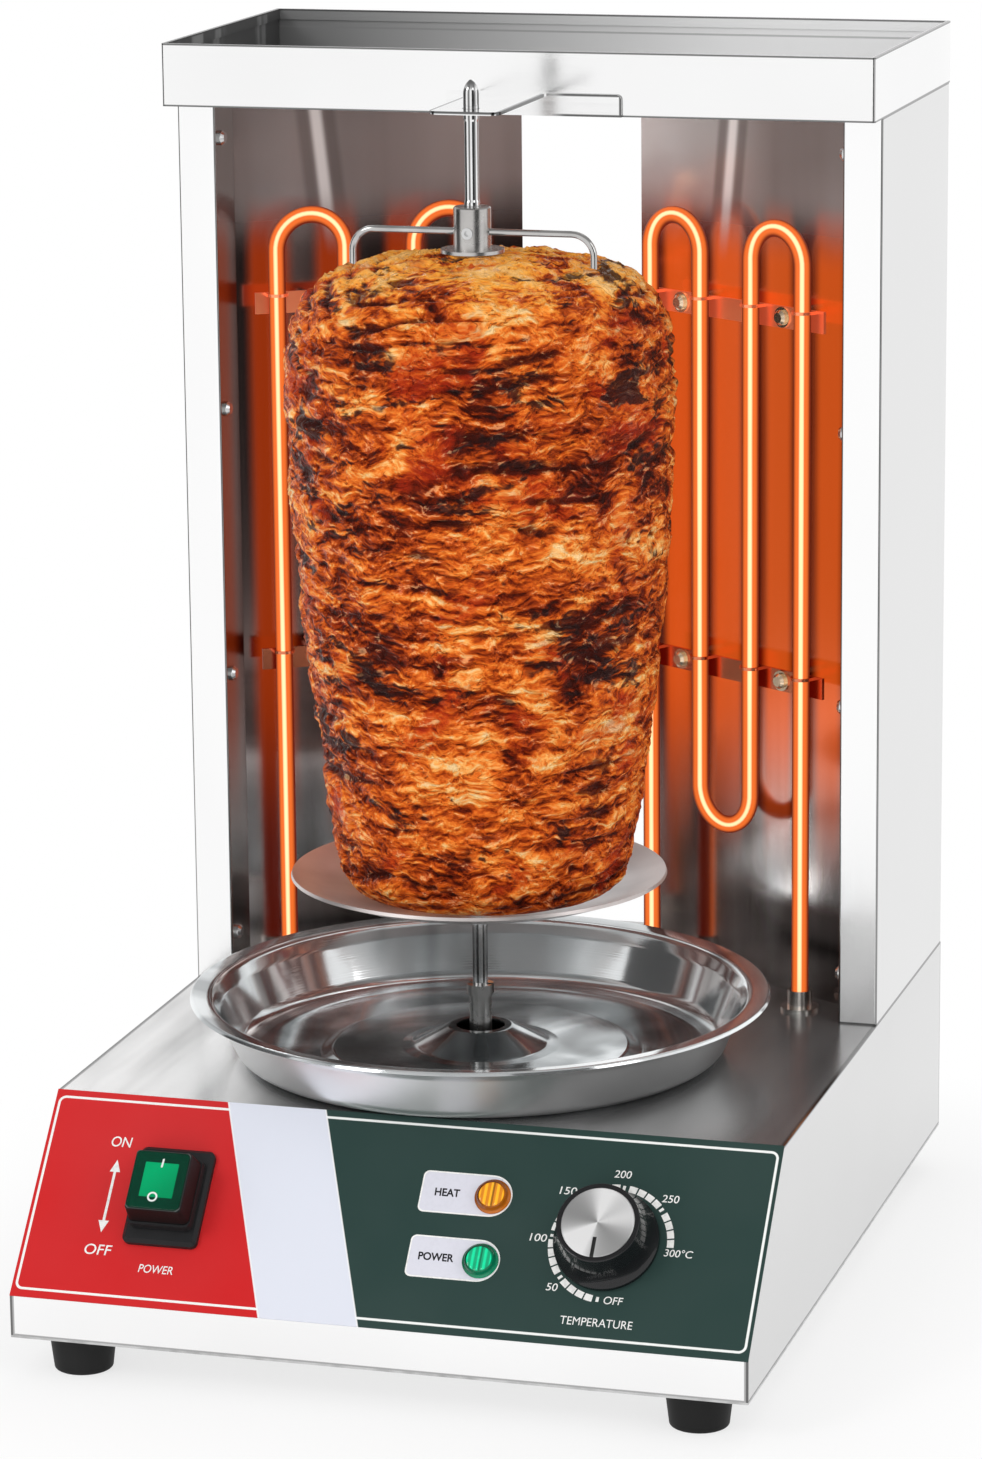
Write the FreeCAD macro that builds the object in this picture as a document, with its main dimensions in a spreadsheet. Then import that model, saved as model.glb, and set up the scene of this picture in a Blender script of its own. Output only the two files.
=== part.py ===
import FreeCAD, Part
import math
import os
import re

import Sketcher
from FreeCAD import Vector

# Electric skewer grill: a stainless base with the controls, two heated columns behind a
# vertical driven skewer, and an open-topped hood.
# Frame: X to the right, Y to the rear, Z up; the origin is the centre of the footprint on
# the table. Millimetres, and degrees where a name says angle.

DIMENSIONS = {
    # Base
    "base_width": 330,
    "base_depth": 400,
    "band_height": 37,
    "deck_height": 111,
    "panel_run": 66,
    "gauge": 1,
    "overlay_gauge": 0.6,
    "vent_length": 44,
    "vent_width": 4,
    "vent_pitch": 9,
    "vent_count": 9,
    "vent_bank": 70,
    # Feet
    "foot_height": 18,
    "foot_top": 30,
    "foot_bottom": 26,
    "foot_from_side": 26,
    "foot_from_end": 20,
    "foot_recess": 10,
    "foot_screw": 4,
    "foot_edge": 1.5,
    "head_clearance": 1,
    # Columns
    "tower_depth": 148,
    "tower_height": 417,
    "flange_width": 18,
    "lip_depth": 25.5,
    "rear_flange": 14,
    "return_seat": 4,
    "foot_flange": 10,
    "reflector_angle": 31.6,
    "reflector_gap": 58,
    "reflector_return": 14,
    "return_angle": 17.4,
    "reflector_hem": 18,
    "slot_length": 40,
    "slot_width": 3.5,
    "slot_pitch": 10,
    "slot_count": 8,
    "slot_from_end": 40,
    # Hood and skewer bracket
    "hood_height": 28.5,
    "hood_overhang": 19,
    "hood_lap": 0.5,
    "hood_corner": 1.5,
    "hem_depth": 5,
    "bracket_gauge": 1.5,
    "tongue_width": 32,
    "tongue_reach": 77.5,
    "tongue_corner": 5,
    "tab_height": 10,
    "tab_corner": 2.5,
    "tab_left": 30,
    "tab_right": 51,
    # Heating elements, measured along the reflector
    "tube_diameter": 8,
    "element_pitch": 32.9,
    "element_inset": 16.4,
    "element_offset": 18,
    "element_top": 363,
    "element_low": 79.6,
    "cold_end": 26,
    "stud_diameter": 4,
    "stud_length": 10,
    "ferrule_diameter": 11.5,
    "ferrule_height": 9.5,
    "ferrule_flange": 18,
    "ferrule_flange_gauge": 1.5,
    "ferrule_drop": 8,
    "strip_height": 10,
    "strip_gauge": 1.5,
    "strip_end": 9.5,
    "loop_gauge": 1,
    "loop_height": 1.4,
    "clip_upper": 322,
    "clip_lower": 153,
    "spacer_diameter": 7,
    # Screws
    "screw_diameter": 4,
    "screw_head": 7,
    "screw_head_height": 2.6,
    "washer_diameter": 9.5,
    "washer_gauge": 0.8,
    "nut_diameter": 7,
    "nut_height": 3,
    "thread_proud": 1,
    "lip_screw_inset": 7,
    "lip_screw_first": 22,
    "lip_screw_pitch": 126,
    "rear_screw_pitch": 170,
    # Drive
    "skewer_setback": 169,
    "shaft_diameter": 7,
    "socket_diameter": 10.2,
    "socket_rise": 32,
    "socket_drop": 5,
    "socket_web": 3,
    "socket_bore_depth": 21,
    "collar_diameter": 12.3,
    "collar_height": 5,
    "key_slot": 2.6,
    "bush_neck": 16,
    "bush_flange": 24,
    "bush_rise": 2.5,
    "bush_flange_gauge": 1.5,
    "motor_diameter": 50,
    "motor_height": 22,
    "motor_pilot": 20,
    "motor_drop": 18,
    "motor_screw_span": 60,
    "motor_floor": 3,
    "motor_edge": 2,
    "ear_gauge": 1.2,
    "ear_overhang": 6,
    "ear_width": 14,
    "lead_box_width": 16,
    "lead_box_depth": 12,
    "lead_box_height": 10,
    "lead_box_drop": 5,
    "motor_bracket_width": 56,
    "motor_bracket_half": 40,
    "motor_bracket_foot": 12,
    "motor_bracket_gauge": 1.5,
    # Skewer
    "rod_diameter": 7,
    "rod_neck": 6.4,
    "neck_end": 3,
    "neck_taper": 1,
    "neck_start": 2,
    "tip_rise": 12.5,
    "tip_length": 6,
    "tip_flat": 0.8,
    "key_diameter": 2,
    "key_length": 11.4,
    "key_drop": 2.6,
    "plate_radius": 84,
    "plate_flat_radius": 62,
    "plate_rise": 76,
    "plate_dish": 8,
    "plate_gauge": 1.5,
    "plate_curve": 60,
    "hub_diameter": 18,
    "hub_height": 10,
    "set_screw": 4,
    "screw_point": 0.6,
    "screw_proud": 0.2,
    "key_socket_depth": 1.6,
    # Meat fork
    "fork_diameter": 16.5,
    "fork_height": 20,
    "fork_flange": 28,
    "fork_flange_gauge": 1.5,
    "fork_edge": 0.6,
    "fork_screw": 5,
    "prong_diameter": 3,
    "prong_span": 110,
    "prong_rise": 9,
    "prong_length": 39,
    "prong_bend": 10,
    "prong_seat": 3.2,
    # Meat
    "meat_height": 286,
    "meat_radius": 90,
    "meat_clearance": 0.4,
    "crown_margin": 1,
    "pocket_spare": 0.5,
    # Drip tray
    "tray_radius": 132,
    "tray_height": 29.5,
    "tray_gauge": 0.8,
    "tray_rim": 10,
    "tray_floor_radius": 103,
    "tray_step_radius": 72,
    "tray_step": 2.8,
    "tray_cone_radius": 36,
    "tray_cone_height": 12.6,
    "tray_hole": 22,
    "tray_neck": 3,
    "tray_cone_edge": 5,
    "tray_cone_lift": 1.6,
    "tray_step_slope": 4,
    "tray_fold_run": 5,
    "tray_fold_rise": 3,
    "tray_wall_drop": 5,
    "tray_shoulder_run": 4,
    "tray_shoulder": 7,
    "tray_rim_fall": 1.2,
    "tray_bead": 1.5,
    # Switch
    "switch_x": -102,
    "switch_drop": 48,
    "switch_width": 34,
    "switch_length": 45.5,
    "switch_flange_height": 4,
    "switch_step_height": 5,
    "switch_step_width": 29,
    "switch_step_length": 33,
    "switch_corner": 3,
    "switch_well_width": 21,
    "switch_well_length": 24.5,
    "switch_body_width": 24,
    "switch_body_length": 31,
    "switch_body_depth": 24,
    "switch_chamfer": 1.6,
    "inner_corner": 1,
    "cap_height": 11,
    "cap_width": 25.2,
    "cap_length": 27.7,
    "cap_wall": 1.2,
    "cap_taper_angle": 8,
    "rocker_width": 20,
    "rocker_length": 20,
    "rocker_rise": 8.6,
    "rocker_tilt_angle": 7,
    "trunnion_diameter": 2.4,
    "trunnion_length": 1.2,
    "blade_width": 6.3,
    "blade_gauge": 0.8,
    "blade_length": 8,
    "blade_pitch": 12,
    "blade_row": 10,
    # Lamps
    "lamp_x": 42,
    "heat_lamp_drop": 34.5,
    "power_lamp_drop": 64.5,
    "lamp_diameter": 16,
    "lamp_stem": 12,
    "lamp_face": 12.8,
    "lamp_flange_height": 1.8,
    "lamp_face_height": 1.6,
    "lamp_depth": 20,
    "lamp_nut": 18,
    "lamp_nut_height": 3,
    "lamp_blade_pitch": 6,
    "lens_edge": 0.6,
    # Temperature control
    "knob_x": 95.6,
    "knob_drop": 50.6,
    "knob_skirt": 46,
    "knob_waist": 38.6,
    "knob_top": 36.2,
    "knob_height": 20.4,
    "knob_gap": 0.8,
    "knob_edge": 0.6,
    "knob_foot": 2,
    "knob_crown": 4,
    "disc_recess": 1,
    "disc_edge": 0.4,
    "cap_disc": 32,
    "cap_disc_height": 1.2,
    "pointer_width": 1.6,
    "pointer_length": 8,
    "pointer_depth": 0.5,
    "pointer_inset": 1,
    "spindle_diameter": 6,
    "spindle_depth": 14,
    "bushing_diameter": 9.6,
    "thermostat_width": 34,
    "thermostat_length": 28,
    "thermostat_depth": 22,
    "thermostat_corner": 2,
    "thermostat_blade_pitch": 16,
    # Mains
    "gland_x": 118,
    "gland_height": 58,
    "gland_diameter": 20,
    "gland_flange": 27,
    "gland_bore": 9,
    "gland_rise": 6,
    "gland_flange_gauge": 3,
    "gland_nut_height": 8,
    "terminal_width": 52,
    "terminal_depth": 18,
    "terminal_height": 20,
    "terminal_pitch": 10,
    "terminal_count": 5,
    "terminal_hole": 6,
    "terminal_shift": 20,
    "terminal_setback": 60,
    # Clearances
    "running_fit": 0.05,
    "sliding_fit": 0.1,
    "guide_clearance": 0.3,
    "hole_clearance": 0.2,
}

doc = FreeCAD.newDocument("SkewerGrill")
dims = doc.addObject("Spreadsheet::Sheet", "Dims")
for row, (alias, size) in enumerate(DIMENSIONS.items(), start=1):
    dims.set(f"A{row}", alias)
    dims.set(f"B{row}", str(size))
    dims.setAlias(f"B{row}", alias)
doc.recompute()

nodes = []


# ---- Expressions: "$name" stands for a cell of the sheet

def bound(text):
    return re.sub(r"\$(\w+)", r"Dims.\1", text)


def measure(text):
    result = dims.evalExpression(bound(text))
    return float(getattr(result, "Value", result))


def bind(item, **expressions):
    for name, text in expressions.items():
        item.setExpression(name, bound(text))


def place(item, x="0", y="0", z="0", axis=(0, 0, 1), turn="0"):
    position = f"vector({x}; {y}; {z})"
    rotation = f"rotation(vector({axis[0]}; {axis[1]}; {axis[2]}); {turn})"
    bind(item, Placement=f"placement({position}; {rotation})")
    return item


# Corner radius of a slot, as a share of its width: just under a half
SLOT_END = "0.49"

# Places that several pieces share
SIDE = "($base_width / 2)"
FRONT = "(-$base_depth / 2)"
REAR = "($base_depth / 2)"
TOWER_FRONT = "($base_depth / 2 - $tower_depth)"
TOWER_TOP = "($deck_height + $tower_height)"
HOOD_FACE = f"({TOWER_FRONT} - $hood_overhang)"
PLATE_TOP = "($foot_height + $gauge)"
DECK_UNDER = "($deck_height - $gauge)"

PANEL_RISE = "($deck_height - $band_height)"
SLOPE = f"atan({PANEL_RISE} / $panel_run)"
PANEL_LENGTH = f"sqrt($panel_run ^ 2 + {PANEL_RISE} ^ 2)"
PANEL_EDGE = f"({FRONT} + $panel_run)"

LIP_X = "($base_width / 2 - $flange_width)"
LIP_END = f"({TOWER_FRONT} + $lip_depth)"
FACET_X = f"({LIP_X} + $gauge)"
FACET_RUN = f"({FACET_X} - $reflector_gap / 2)"
FACET_END_Y = f"({LIP_END} + {FACET_RUN} * tan($reflector_angle))"

SKEWER_Y = f"({FRONT} + $skewer_setback)"
SOCKET_TOP = "($deck_height + $socket_rise)"
ROD_END = f"({SOCKET_TOP} - $socket_bore_depth + $guide_clearance)"
PLATE_Z = "($deck_height + $plate_rise)"
MEAT_Z = f"({PLATE_Z} + $plate_gauge + $meat_clearance)"
FORK_Z = f"({MEAT_Z} + $meat_height + $meat_clearance)"
TONGUE_Z = f"({TOWER_TOP} + $tab_height - $bracket_gauge)"
BRACKET_Z = f"({DECK_UNDER} - $motor_drop)"
MOTOR_TOP = f"({BRACKET_Z} - $motor_bracket_gauge)"
OVERLAY = "$overlay_gauge"


def panel_point(x, drop, height):
    # A point of the control face: across, down the slope, and out of the steel face.
    y = f"({PANEL_EDGE} - ({drop}) * cos({SLOPE}) - ({height}) * sin({SLOPE}))"
    z = f"($deck_height - ({drop}) * sin({SLOPE}) + ({height}) * cos({SLOPE}))"
    return x, y, z


def place_on_panel(item, x, drop, height="0", tilt="0"):
    return place(item, *panel_point(x, drop, height), axis=(1, 0, 0), turn=f"({SLOPE} - ({tilt}) * 1 deg)")


def facet_point(along, behind):
    # A point beside the left reflector: along its face from the lip, and behind that face.
    x = f"(-{FACET_X} + ({along}) * cos($reflector_angle) - ({behind}) * sin($reflector_angle))"
    y = f"({LIP_END} + ({along}) * sin($reflector_angle) + ({behind}) * cos($reflector_angle))"
    return x, y


def place_on_facet(item, along, behind, z):
    return place(item, *facet_point(along, behind), z, turn="$reflector_angle")


def leg_position(number):
    return f"($element_inset + {number} * $element_pitch)"


# ---- Sketches whose points are all held by expressions

class Outline:
    def __init__(self, sketch):
        self.sketch = sketch

    def pin(self, edge, end, x, y):
        for kind, text in (("DistanceX", x), ("DistanceY", y)):
            rule = Sketcher.Constraint(kind, -1, 1, edge, end, measure(text))
            index = self.sketch.addConstraint(rule)
            self.sketch.setExpression(f"Constraints[{index}]", bound(text))

    def size(self, kind, edge, text):
        index = self.sketch.addConstraint(Sketcher.Constraint(kind, edge, measure(text)))
        self.sketch.setExpression(f"Constraints[{index}]", bound(text))

    def circle(self, x, y, diameter):
        centre = Vector(measure(x), measure(y), 0)
        ring = Part.Circle(centre, Vector(0, 0, 1), measure(diameter) / 2)
        edge = self.sketch.addGeometry(ring)
        self.pin(edge, 3, x, y)
        self.size("Diameter", edge, diameter)

    def arc(self, start, finish, heading, bend):
        # An arc to finish: tangent to the edge before it, or of a signed radius (+ turns left).
        chord = finish - start
        if bend == "tangent":
            across = Vector(-heading.y, heading.x, 0)
            radius = chord.dot(chord) / (2 * chord.dot(across))
            centre = start + across * radius
        else:
            radius = measure(bend)
            across = Vector(-chord.y, chord.x, 0).normalize()
            height = math.sqrt(radius ** 2 - chord.dot(chord) / 4)
            centre = (start + finish) * 0.5 + across * math.copysign(height, radius)
        ring = Part.Circle(centre, Vector(0, 0, 1), abs(radius))
        turns_left = radius > 0
        first, last = (start, finish) if turns_left else (finish, start)
        angles = [math.atan2(p.y - centre.y, p.x - centre.x) for p in (first, last)]
        edge = self.sketch.addGeometry(Part.ArcOfCircle(ring, *angles))
        spoke = (finish - centre).normalize()
        heading = Vector(-spoke.y, spoke.x, 0) * (1 if turns_left else -1)
        return edge, (1, 2) if turns_left else (2, 1), heading

    def draw(self, points, closed=True):
        # Edges through the points; a third entry says how the edge that ends there bends.
        corners = [Vector(measure(p[0]), measure(p[1]), 0) for p in points]
        total = len(points)
        edges = []
        heading = None
        for number in range(total if closed else total - 1):
            start = corners[number]
            after = (number + 1) % total
            bend = points[after][2] if len(points[after]) > 2 else None
            if bend:
                edge, ends, heading = self.arc(start, corners[after], heading, bend)
            else:
                edge = self.sketch.addGeometry(Part.LineSegment(start, corners[after]))
                ends = (1, 2)
                heading = (corners[after] - start).normalize()
            edges.append((edge, ends, bend))
        for number, (edge, ends, bend) in enumerate(edges):
            self.pin(edge, ends[0], *points[number][:2])
            if bend and bend != "tangent":
                self.size("Radius", edge, bend.lstrip("+-"))
            if number == 0 and not closed:
                continue
            before, before_ends, _ = edges[number - 1]
            kind = "Tangent" if bend == "tangent" else "Coincident"
            joint = Sketcher.Constraint(kind, before, before_ends[1], edge, ends[0])
            self.sketch.addConstraint(joint)
        if not closed:
            edge, ends, _ = edges[-1]
            self.pin(edge, ends[1], *points[-1][:2])
        return self

    def rounded(self, width, length, radius, x="0", y="0"):
        # A rectangle about (x, y) with round corners.
        right, left = f"({x} + {width} / 2)", f"({x} - {width} / 2)"
        far, near = f"({y} + {length} / 2)", f"({y} - {length} / 2)"
        return self.draw([
            (f"{left} + {radius}", near, "tangent"), (f"{right} - {radius}", near),
            (right, f"{near} + {radius}", "tangent"), (right, f"{far} - {radius}"),
            (f"{right} - {radius}", far, "tangent"), (f"{left} + {radius}", far),
            (left, f"{far} - {radius}", "tangent"), (left, f"{near} + {radius}"),
        ])

    def rectangle(self, left, near, right, far):
        return self.draw([(left, near), (right, near), (right, far), (left, far)])


# ---- Makers of solids

def new_body(label):
    item = doc.addObject("PartDesign::Body", label)
    item.Label = label
    return item


def sketch_in(body, role="XY_Plane", lift=None):
    item = body.newObject("Sketcher::SketchObject", f"{body.Name}_sketch")
    plane = next(f for f in body.Origin.OriginFeatures if f.Role == role)
    item.AttachmentSupport = [(plane, "")]
    item.MapMode = "FlatFace"
    if lift:
        item.setExpression("AttachmentOffset.Base.z", bound(lift))
    return Outline(item)


def feature(body, kind, outline, **settings):
    item = body.newObject(f"PartDesign::{kind}", f"{body.Name}_{kind.lower()}")
    item.Profile = outline.sketch
    for name, value in settings.items():
        if isinstance(value, str) and name in ("Length", "TaperAngle"):
            bind(item, **{name: value})
        else:
            setattr(item, name, value)
    return item


def pad(body, outline, length, **settings):
    return feature(body, "Pad", outline, Length=length, **settings)


def pocket(body, outline, length=None, **settings):
    if length is None:
        return feature(body, "Pocket", outline, Type="ThroughAll", **settings)
    return feature(body, "Pocket", outline, Length=length, **settings)


def pattern(body, original, outline, axis, length, count):
    item = body.newObject("PartDesign::LinearPattern", f"{body.Name}_pattern")
    item.Originals = [original]
    item.Direction = (outline.sketch, [axis])
    bind(item, Length=length, Occurrences=count)
    body.Tip = item
    return item


def soften(body, kind, size, choose):
    # A fillet or chamfer on the edges that choose accepts.
    doc.recompute()
    blank = body.Tip
    names = [f"Edge{n}" for n, edge in enumerate(blank.Shape.Edges, start=1) if choose(edge)]
    item = body.newObject(f"PartDesign::{kind}", f"{body.Name}_{kind.lower()}")
    item.Base = (blank, names)
    bind(item, **{"Radius" if kind == "Fillet" else "Size": size})
    body.Tip = item
    return item


TURNING = {
    "z": ("XZ_Plane", "V_Axis"),
    "y": ("XY_Plane", "V_Axis"),
    "x": ("XY_Plane", "H_Axis"),
}


def turned(label, points, axis="z"):
    # A solid of revolution; its points are (radius, along the axis).
    body = new_body(label)
    role, reference = TURNING[axis]
    if axis == "x":
        points = [(p[1], p[0], *p[2:]) for p in points]
    outline = sketch_in(body, role).draw(points)
    feature(body, "Revolution", outline, ReferenceAxis=(outline.sketch, [reference]), Angle=360)
    return body


def loose_sketch(name, plane="XY"):
    item = doc.addObject("Sketcher::SketchObject", name)
    turns = {"XY": ((0, 0, 1), 0), "XZ": ((1, 0, 0), 90), "YZ": ((1, 1, 1), 120)}
    axis, angle = turns[plane]
    item.Placement = FreeCAD.Placement(Vector(0, 0, 0), FreeCAD.Rotation(Vector(*axis), angle))
    return Outline(item)


def sheet_section(name, points, plane, gauge):
    # The section of a folded sheet, thickened from an open path to one side of it.
    path = loose_sketch(f"{name}_path", plane).draw(points, closed=False)
    section = doc.addObject("Part::Offset2D", f"{name}_section")
    section.Source = path.sketch
    section.Mode = "Skin"
    section.Join = "Arc"
    section.Fill = True
    bind(section, Value=gauge)
    return section


def folded(label, points, plane, gauge, length):
    item = doc.addObject("Part::Extrusion", label)
    item.Label = label
    item.Base = sheet_section(label, points, plane, gauge)
    item.DirMode = "Custom"
    item.Dir = {"XY": Vector(0, 0, 1), "XZ": Vector(0, 1, 0), "YZ": Vector(1, 0, 0)}[plane]
    item.Symmetric = plane != "XY"
    item.Solid = True
    bind(item, LengthFwd=length)
    return item


def pressed(label, points, gauge):
    # A round pressing: a sheet section on (radius, height) points, turned about Z.
    item = doc.addObject("Part::Revolution", label)
    item.Label = label
    item.Source = sheet_section(label, points, "XZ", gauge)
    item.Axis = Vector(0, 0, 1)
    item.Angle = 360
    item.Solid = True
    return item


def box(x, y, z, width, depth, height):
    item = doc.addObject("Part::Box", "cutter")
    bind(item, Length=width, Width=depth, Height=height)
    return place(item, x, y, z)


def cylinder(diameter, height):
    item = doc.addObject("Part::Cylinder", "cutter")
    bind(item, Radius=f"({diameter}) / 2", Height=height)
    return item


def across_x(diameter, length, x, y, z):
    # A cylinder along +X from the point given.
    return place(cylinder(diameter, length), x, y, z, axis=(0, 1, 0), turn="90")


def across_y(diameter, length, x, y, z):
    # A cylinder along -Y from the point given.
    return place(cylinder(diameter, length), x, y, z, axis=(1, 0, 0), turn="90")


def joined(kind, label, parts):
    item = doc.addObject(f"Part::{kind}", label)
    item.Label = label
    setattr(item, "Links" if kind == "Compound" else "Shapes", parts)
    return item


def cut(label, base, tools):
    item = doc.addObject("Part::Cut", label)
    item.Base = base
    item.Tool = joined("Compound", f"{label}_tools", tools) if len(tools) > 1 else tools[0]
    base.Label = f"{label}_blank"
    item.Label = label
    return item


def mirrored(label, source):
    item = doc.addObject("Part::Mirroring", label)
    item.Label = label
    item.Source = source
    item.Normal = Vector(1, 0, 0)
    return item


def node(item):
    nodes.append(item)
    return item


def both_sides(name, make, **settings):
    # A left piece and its mirror image on the right.
    left = node(make(f"{name}_left", **settings))
    node(mirrored(f"{name}_right", left))


def as_one(name, make):
    # Small parts of both sides, kept in one node.
    left = make(f"{name}_left")
    node(joined("Compound", name, [left, mirrored(f"{name}_right", left)]))


def screw_points(length, head="$screw_head", rise="$screw_head_height", shank="$screw_diameter",
                 washer=True):
    # Pan head on top of a washer; the shank runs down from the washer's underside.
    shank = f"({shank}) / 2"
    points = [("0", f"-({length})"), (shank, f"-({length})"), (shank, "0")]
    base = "0"
    if washer:
        base = "$washer_gauge"
        points += [("$washer_diameter / 2", "0"), ("$washer_diameter / 2", base)]
    shoulder, crown = f"{base} + ({rise}) / 2", f"{base} + {rise}"
    return points + [(f"({head}) / 2", base), (f"({head}) / 2", shoulder),
                     (f"({head}) / 3", crown), ("0", crown)]


NUT_REACH = "($nut_height + $thread_proud)"


def nut_points(start):
    end = f"{start} - $nut_height"
    return [("$screw_diameter / 2", start), ("$nut_diameter / 2", start),
            ("$nut_diameter / 2", end), ("$screw_diameter / 2", end)]


# ---- Base

def base_wrap():
    # Inner corners of the folded sheet: front band, control face, deck and rear wall.
    fold = f"$gauge / cos({SLOPE})"
    points = [
        (f"{FRONT} + $gauge", PLATE_TOP),
        (f"{FRONT} + $gauge", f"$band_height + $gauge * tan({SLOPE}) - {fold}"),
        (f"{PANEL_EDGE} + ({fold} - $gauge) / tan({SLOPE})", DECK_UNDER),
        (f"{REAR} - $gauge", DECK_UNDER),
        (f"{REAR} - $gauge", PLATE_TOP),
    ]
    blank = folded("base_wrap_blank", points, "YZ", "-$gauge", "$base_width - 2 * $gauge")
    through = "$gauge * 4"
    below = f"{DECK_UNDER} - $gauge"
    tools = [place(cylinder("$bush_neck + 2 * $hole_clearance", through), "0", SKEWER_Y, below)]
    for number in (0, 3):
        x, y = facet_point(leg_position(number), "-$element_offset")
        for side in ("", "-"):
            hole = cylinder("$ferrule_diameter + 2 * $hole_clearance", through)
            tools.append(place(hole, f"{side}{x}", y, below))
    for x, drop, size in (
        ("$lamp_x", "$heat_lamp_drop", "$lamp_stem"),
        ("$lamp_x", "$power_lamp_drop", "$lamp_stem"),
        ("$knob_x", "$knob_drop", "$bushing_diameter"),
    ):
        hole = cylinder(f"{size} + 2 * $hole_clearance", through)
        tools.append(place_on_panel(hole, x, drop, "-2 * $gauge"))
    slot_width = "($switch_body_width + 2 * $hole_clearance)"
    slot_length = "($switch_body_length + 2 * $hole_clearance)"
    slot = box("0", "0", "0", slot_width, slot_length, through)
    tools.append(place_on_panel(slot, f"$switch_x - {slot_width} / 2",
                                f"$switch_drop + {slot_length} / 2", "-2 * $gauge"))
    tools.append(across_y("$gland_diameter + 2 * $hole_clearance", through,
                          "$gland_x", f"{REAR} + 2 * $gauge", "$gland_height"))
    node(cut("base_wrap", blank, tools))


def base_side(label):
    body = new_body(label)
    outline = sketch_in(body, "YZ_Plane", f"-{SIDE}").draw([
        (FRONT, PLATE_TOP), (REAR, PLATE_TOP), (REAR, "$deck_height"),
        (PANEL_EDGE, "$deck_height"), (FRONT, "$band_height"),
    ])
    pad(body, outline, "$gauge")
    return body


def foot_spots():
    for end, y in (("front", f"({FRONT} + $foot_from_end)"), ("rear", f"({REAR} - $foot_from_end)")):
        for side, x in (("left", f"(-{SIDE} + $foot_from_side)"), ("right", f"({SIDE} - $foot_from_side)")):
            yield f"{end}_{side}", x, y


def bottom_plate():
    body = new_body("bottom_plate")
    outline = sketch_in(body, lift="$foot_height")
    outline.rectangle(f"-{SIDE}", FRONT, SIDE, REAR)
    pad(body, outline, "$gauge")
    holes = sketch_in(body, lift=PLATE_TOP)
    for _, x, y in foot_spots():
        holes.circle(x, y, "$foot_screw + 2 * $hole_clearance")
    pocket(body, holes)
    span = "($vent_count - 1) * $vent_pitch"
    for bank in ("-1", "1"):
        centre = f"({bank} * $vent_bank)"
        slot = sketch_in(body, lift=PLATE_TOP)
        slot.rounded("$vent_length", "$vent_width", f"$vent_width * {SLOT_END}", centre, f"(-{span} / 2)")
        vent = pocket(body, slot)
        pattern(body, vent, slot, "V_Axis", span, "$vent_count")
    node(body)


def feet():
    screws = []
    for spot, x, y in foot_spots():
        foot = turned(f"foot_{spot}", [
            ("$foot_screw / 2 + $hole_clearance", "$foot_recess"),
            ("$screw_head / 2 + $head_clearance", "$foot_recess"),
            ("$screw_head / 2 + $head_clearance", "0"),
            ("$foot_bottom / 2 - $foot_edge", "0"), ("$foot_bottom / 2", "$foot_edge", "tangent"),
            ("$foot_top / 2", "$foot_height"), ("$foot_screw / 2 + $hole_clearance", "$foot_height"),
        ])
        node(place(foot, x, y))
        screw = turned(f"foot_screw_{spot}", screw_points(
            f"$foot_height - $foot_recess + $gauge + {NUT_REACH}", shank="$foot_screw", washer=False))
        place(screw, x, y, "$foot_recess", axis=(1, 0, 0), turn="180")
        nut = turned(f"foot_nut_{spot}", nut_points("0"))
        place(nut, x, y, f"{PLATE_TOP} + $nut_height")
        screws += [screw, nut]
    node(joined("Compound", "foot_screws", screws))


def control_overlay():
    body = new_body("control_overlay")
    plate = sketch_in(body)
    plate.rectangle(f"-{SIDE}", f"-{PANEL_LENGTH}", SIDE, "0")
    pad(body, plate, OVERLAY)
    holes = sketch_in(body, lift=OVERLAY)
    for x, drop, size in (
        ("$lamp_x", "$heat_lamp_drop", "$lamp_stem"),
        ("$lamp_x", "$power_lamp_drop", "$lamp_stem"),
        ("$knob_x", "$knob_drop", "$bushing_diameter"),
    ):
        holes.circle(x, f"-{drop}", f"{size} + 2 * $hole_clearance")
    holes.rounded("($switch_body_width + 2 * $hole_clearance)", "($switch_body_length + 2 * $hole_clearance)",
                  "$inner_corner", "$switch_x", "(-$switch_drop)")
    pocket(body, holes)
    node(place_on_panel(body, "0", "0"))


# ---- Switch

CAP_BASE = f"({OVERLAY} + $switch_flange_height + $switch_step_height)"
PIVOT = f"({OVERLAY} + $switch_flange_height + $switch_step_height / 2)"


def at_height(level):
    # Chooses edges that lie flat at one height of the body.
    def choose(edge):
        span = edge.BoundBox
        return abs(span.ZMin - level) < 1e-4 and abs(span.ZMax - level) < 1e-4
    return choose


def switch_frame():
    body = new_body("switch_frame")
    flange = sketch_in(body, lift=OVERLAY).rounded("$switch_width", "$switch_length", "$switch_corner")
    pad(body, flange, "$switch_flange_height")
    soften(body, "Chamfer", "$switch_chamfer", at_height(measure(f"{OVERLAY} + $switch_flange_height")))
    step = sketch_in(body, lift=f"{OVERLAY} + $switch_flange_height")
    step.rounded("$switch_step_width", "$switch_step_length", "$switch_corner")
    pad(body, step, "$switch_step_height")
    well = sketch_in(body, lift=CAP_BASE)
    well.rounded("$switch_well_width", "$switch_well_length", "$inner_corner")
    pocket(body, well)
    bearing = sketch_in(body, "YZ_Plane")
    bearing.circle("0", PIVOT, "$trunnion_diameter + 2 * $running_fit")
    reach = "$switch_well_width + 2 * ($trunnion_length + $hole_clearance)"
    pocket(body, bearing, reach, Midplane=True)
    node(place_on_panel(body, "$switch_x", "$switch_drop"))


def blades(body, level, spots):
    # Push-on terminals under a housing.
    outline = sketch_in(body, lift=f"-({level})")
    for x, y in spots:
        outline.rectangle(f"{x} - $blade_width / 2", f"{y} - $blade_gauge / 2",
                          f"{x} + $blade_width / 2", f"{y} + $blade_gauge / 2")
    pad(body, outline, "$blade_length", Reversed=True)


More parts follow.
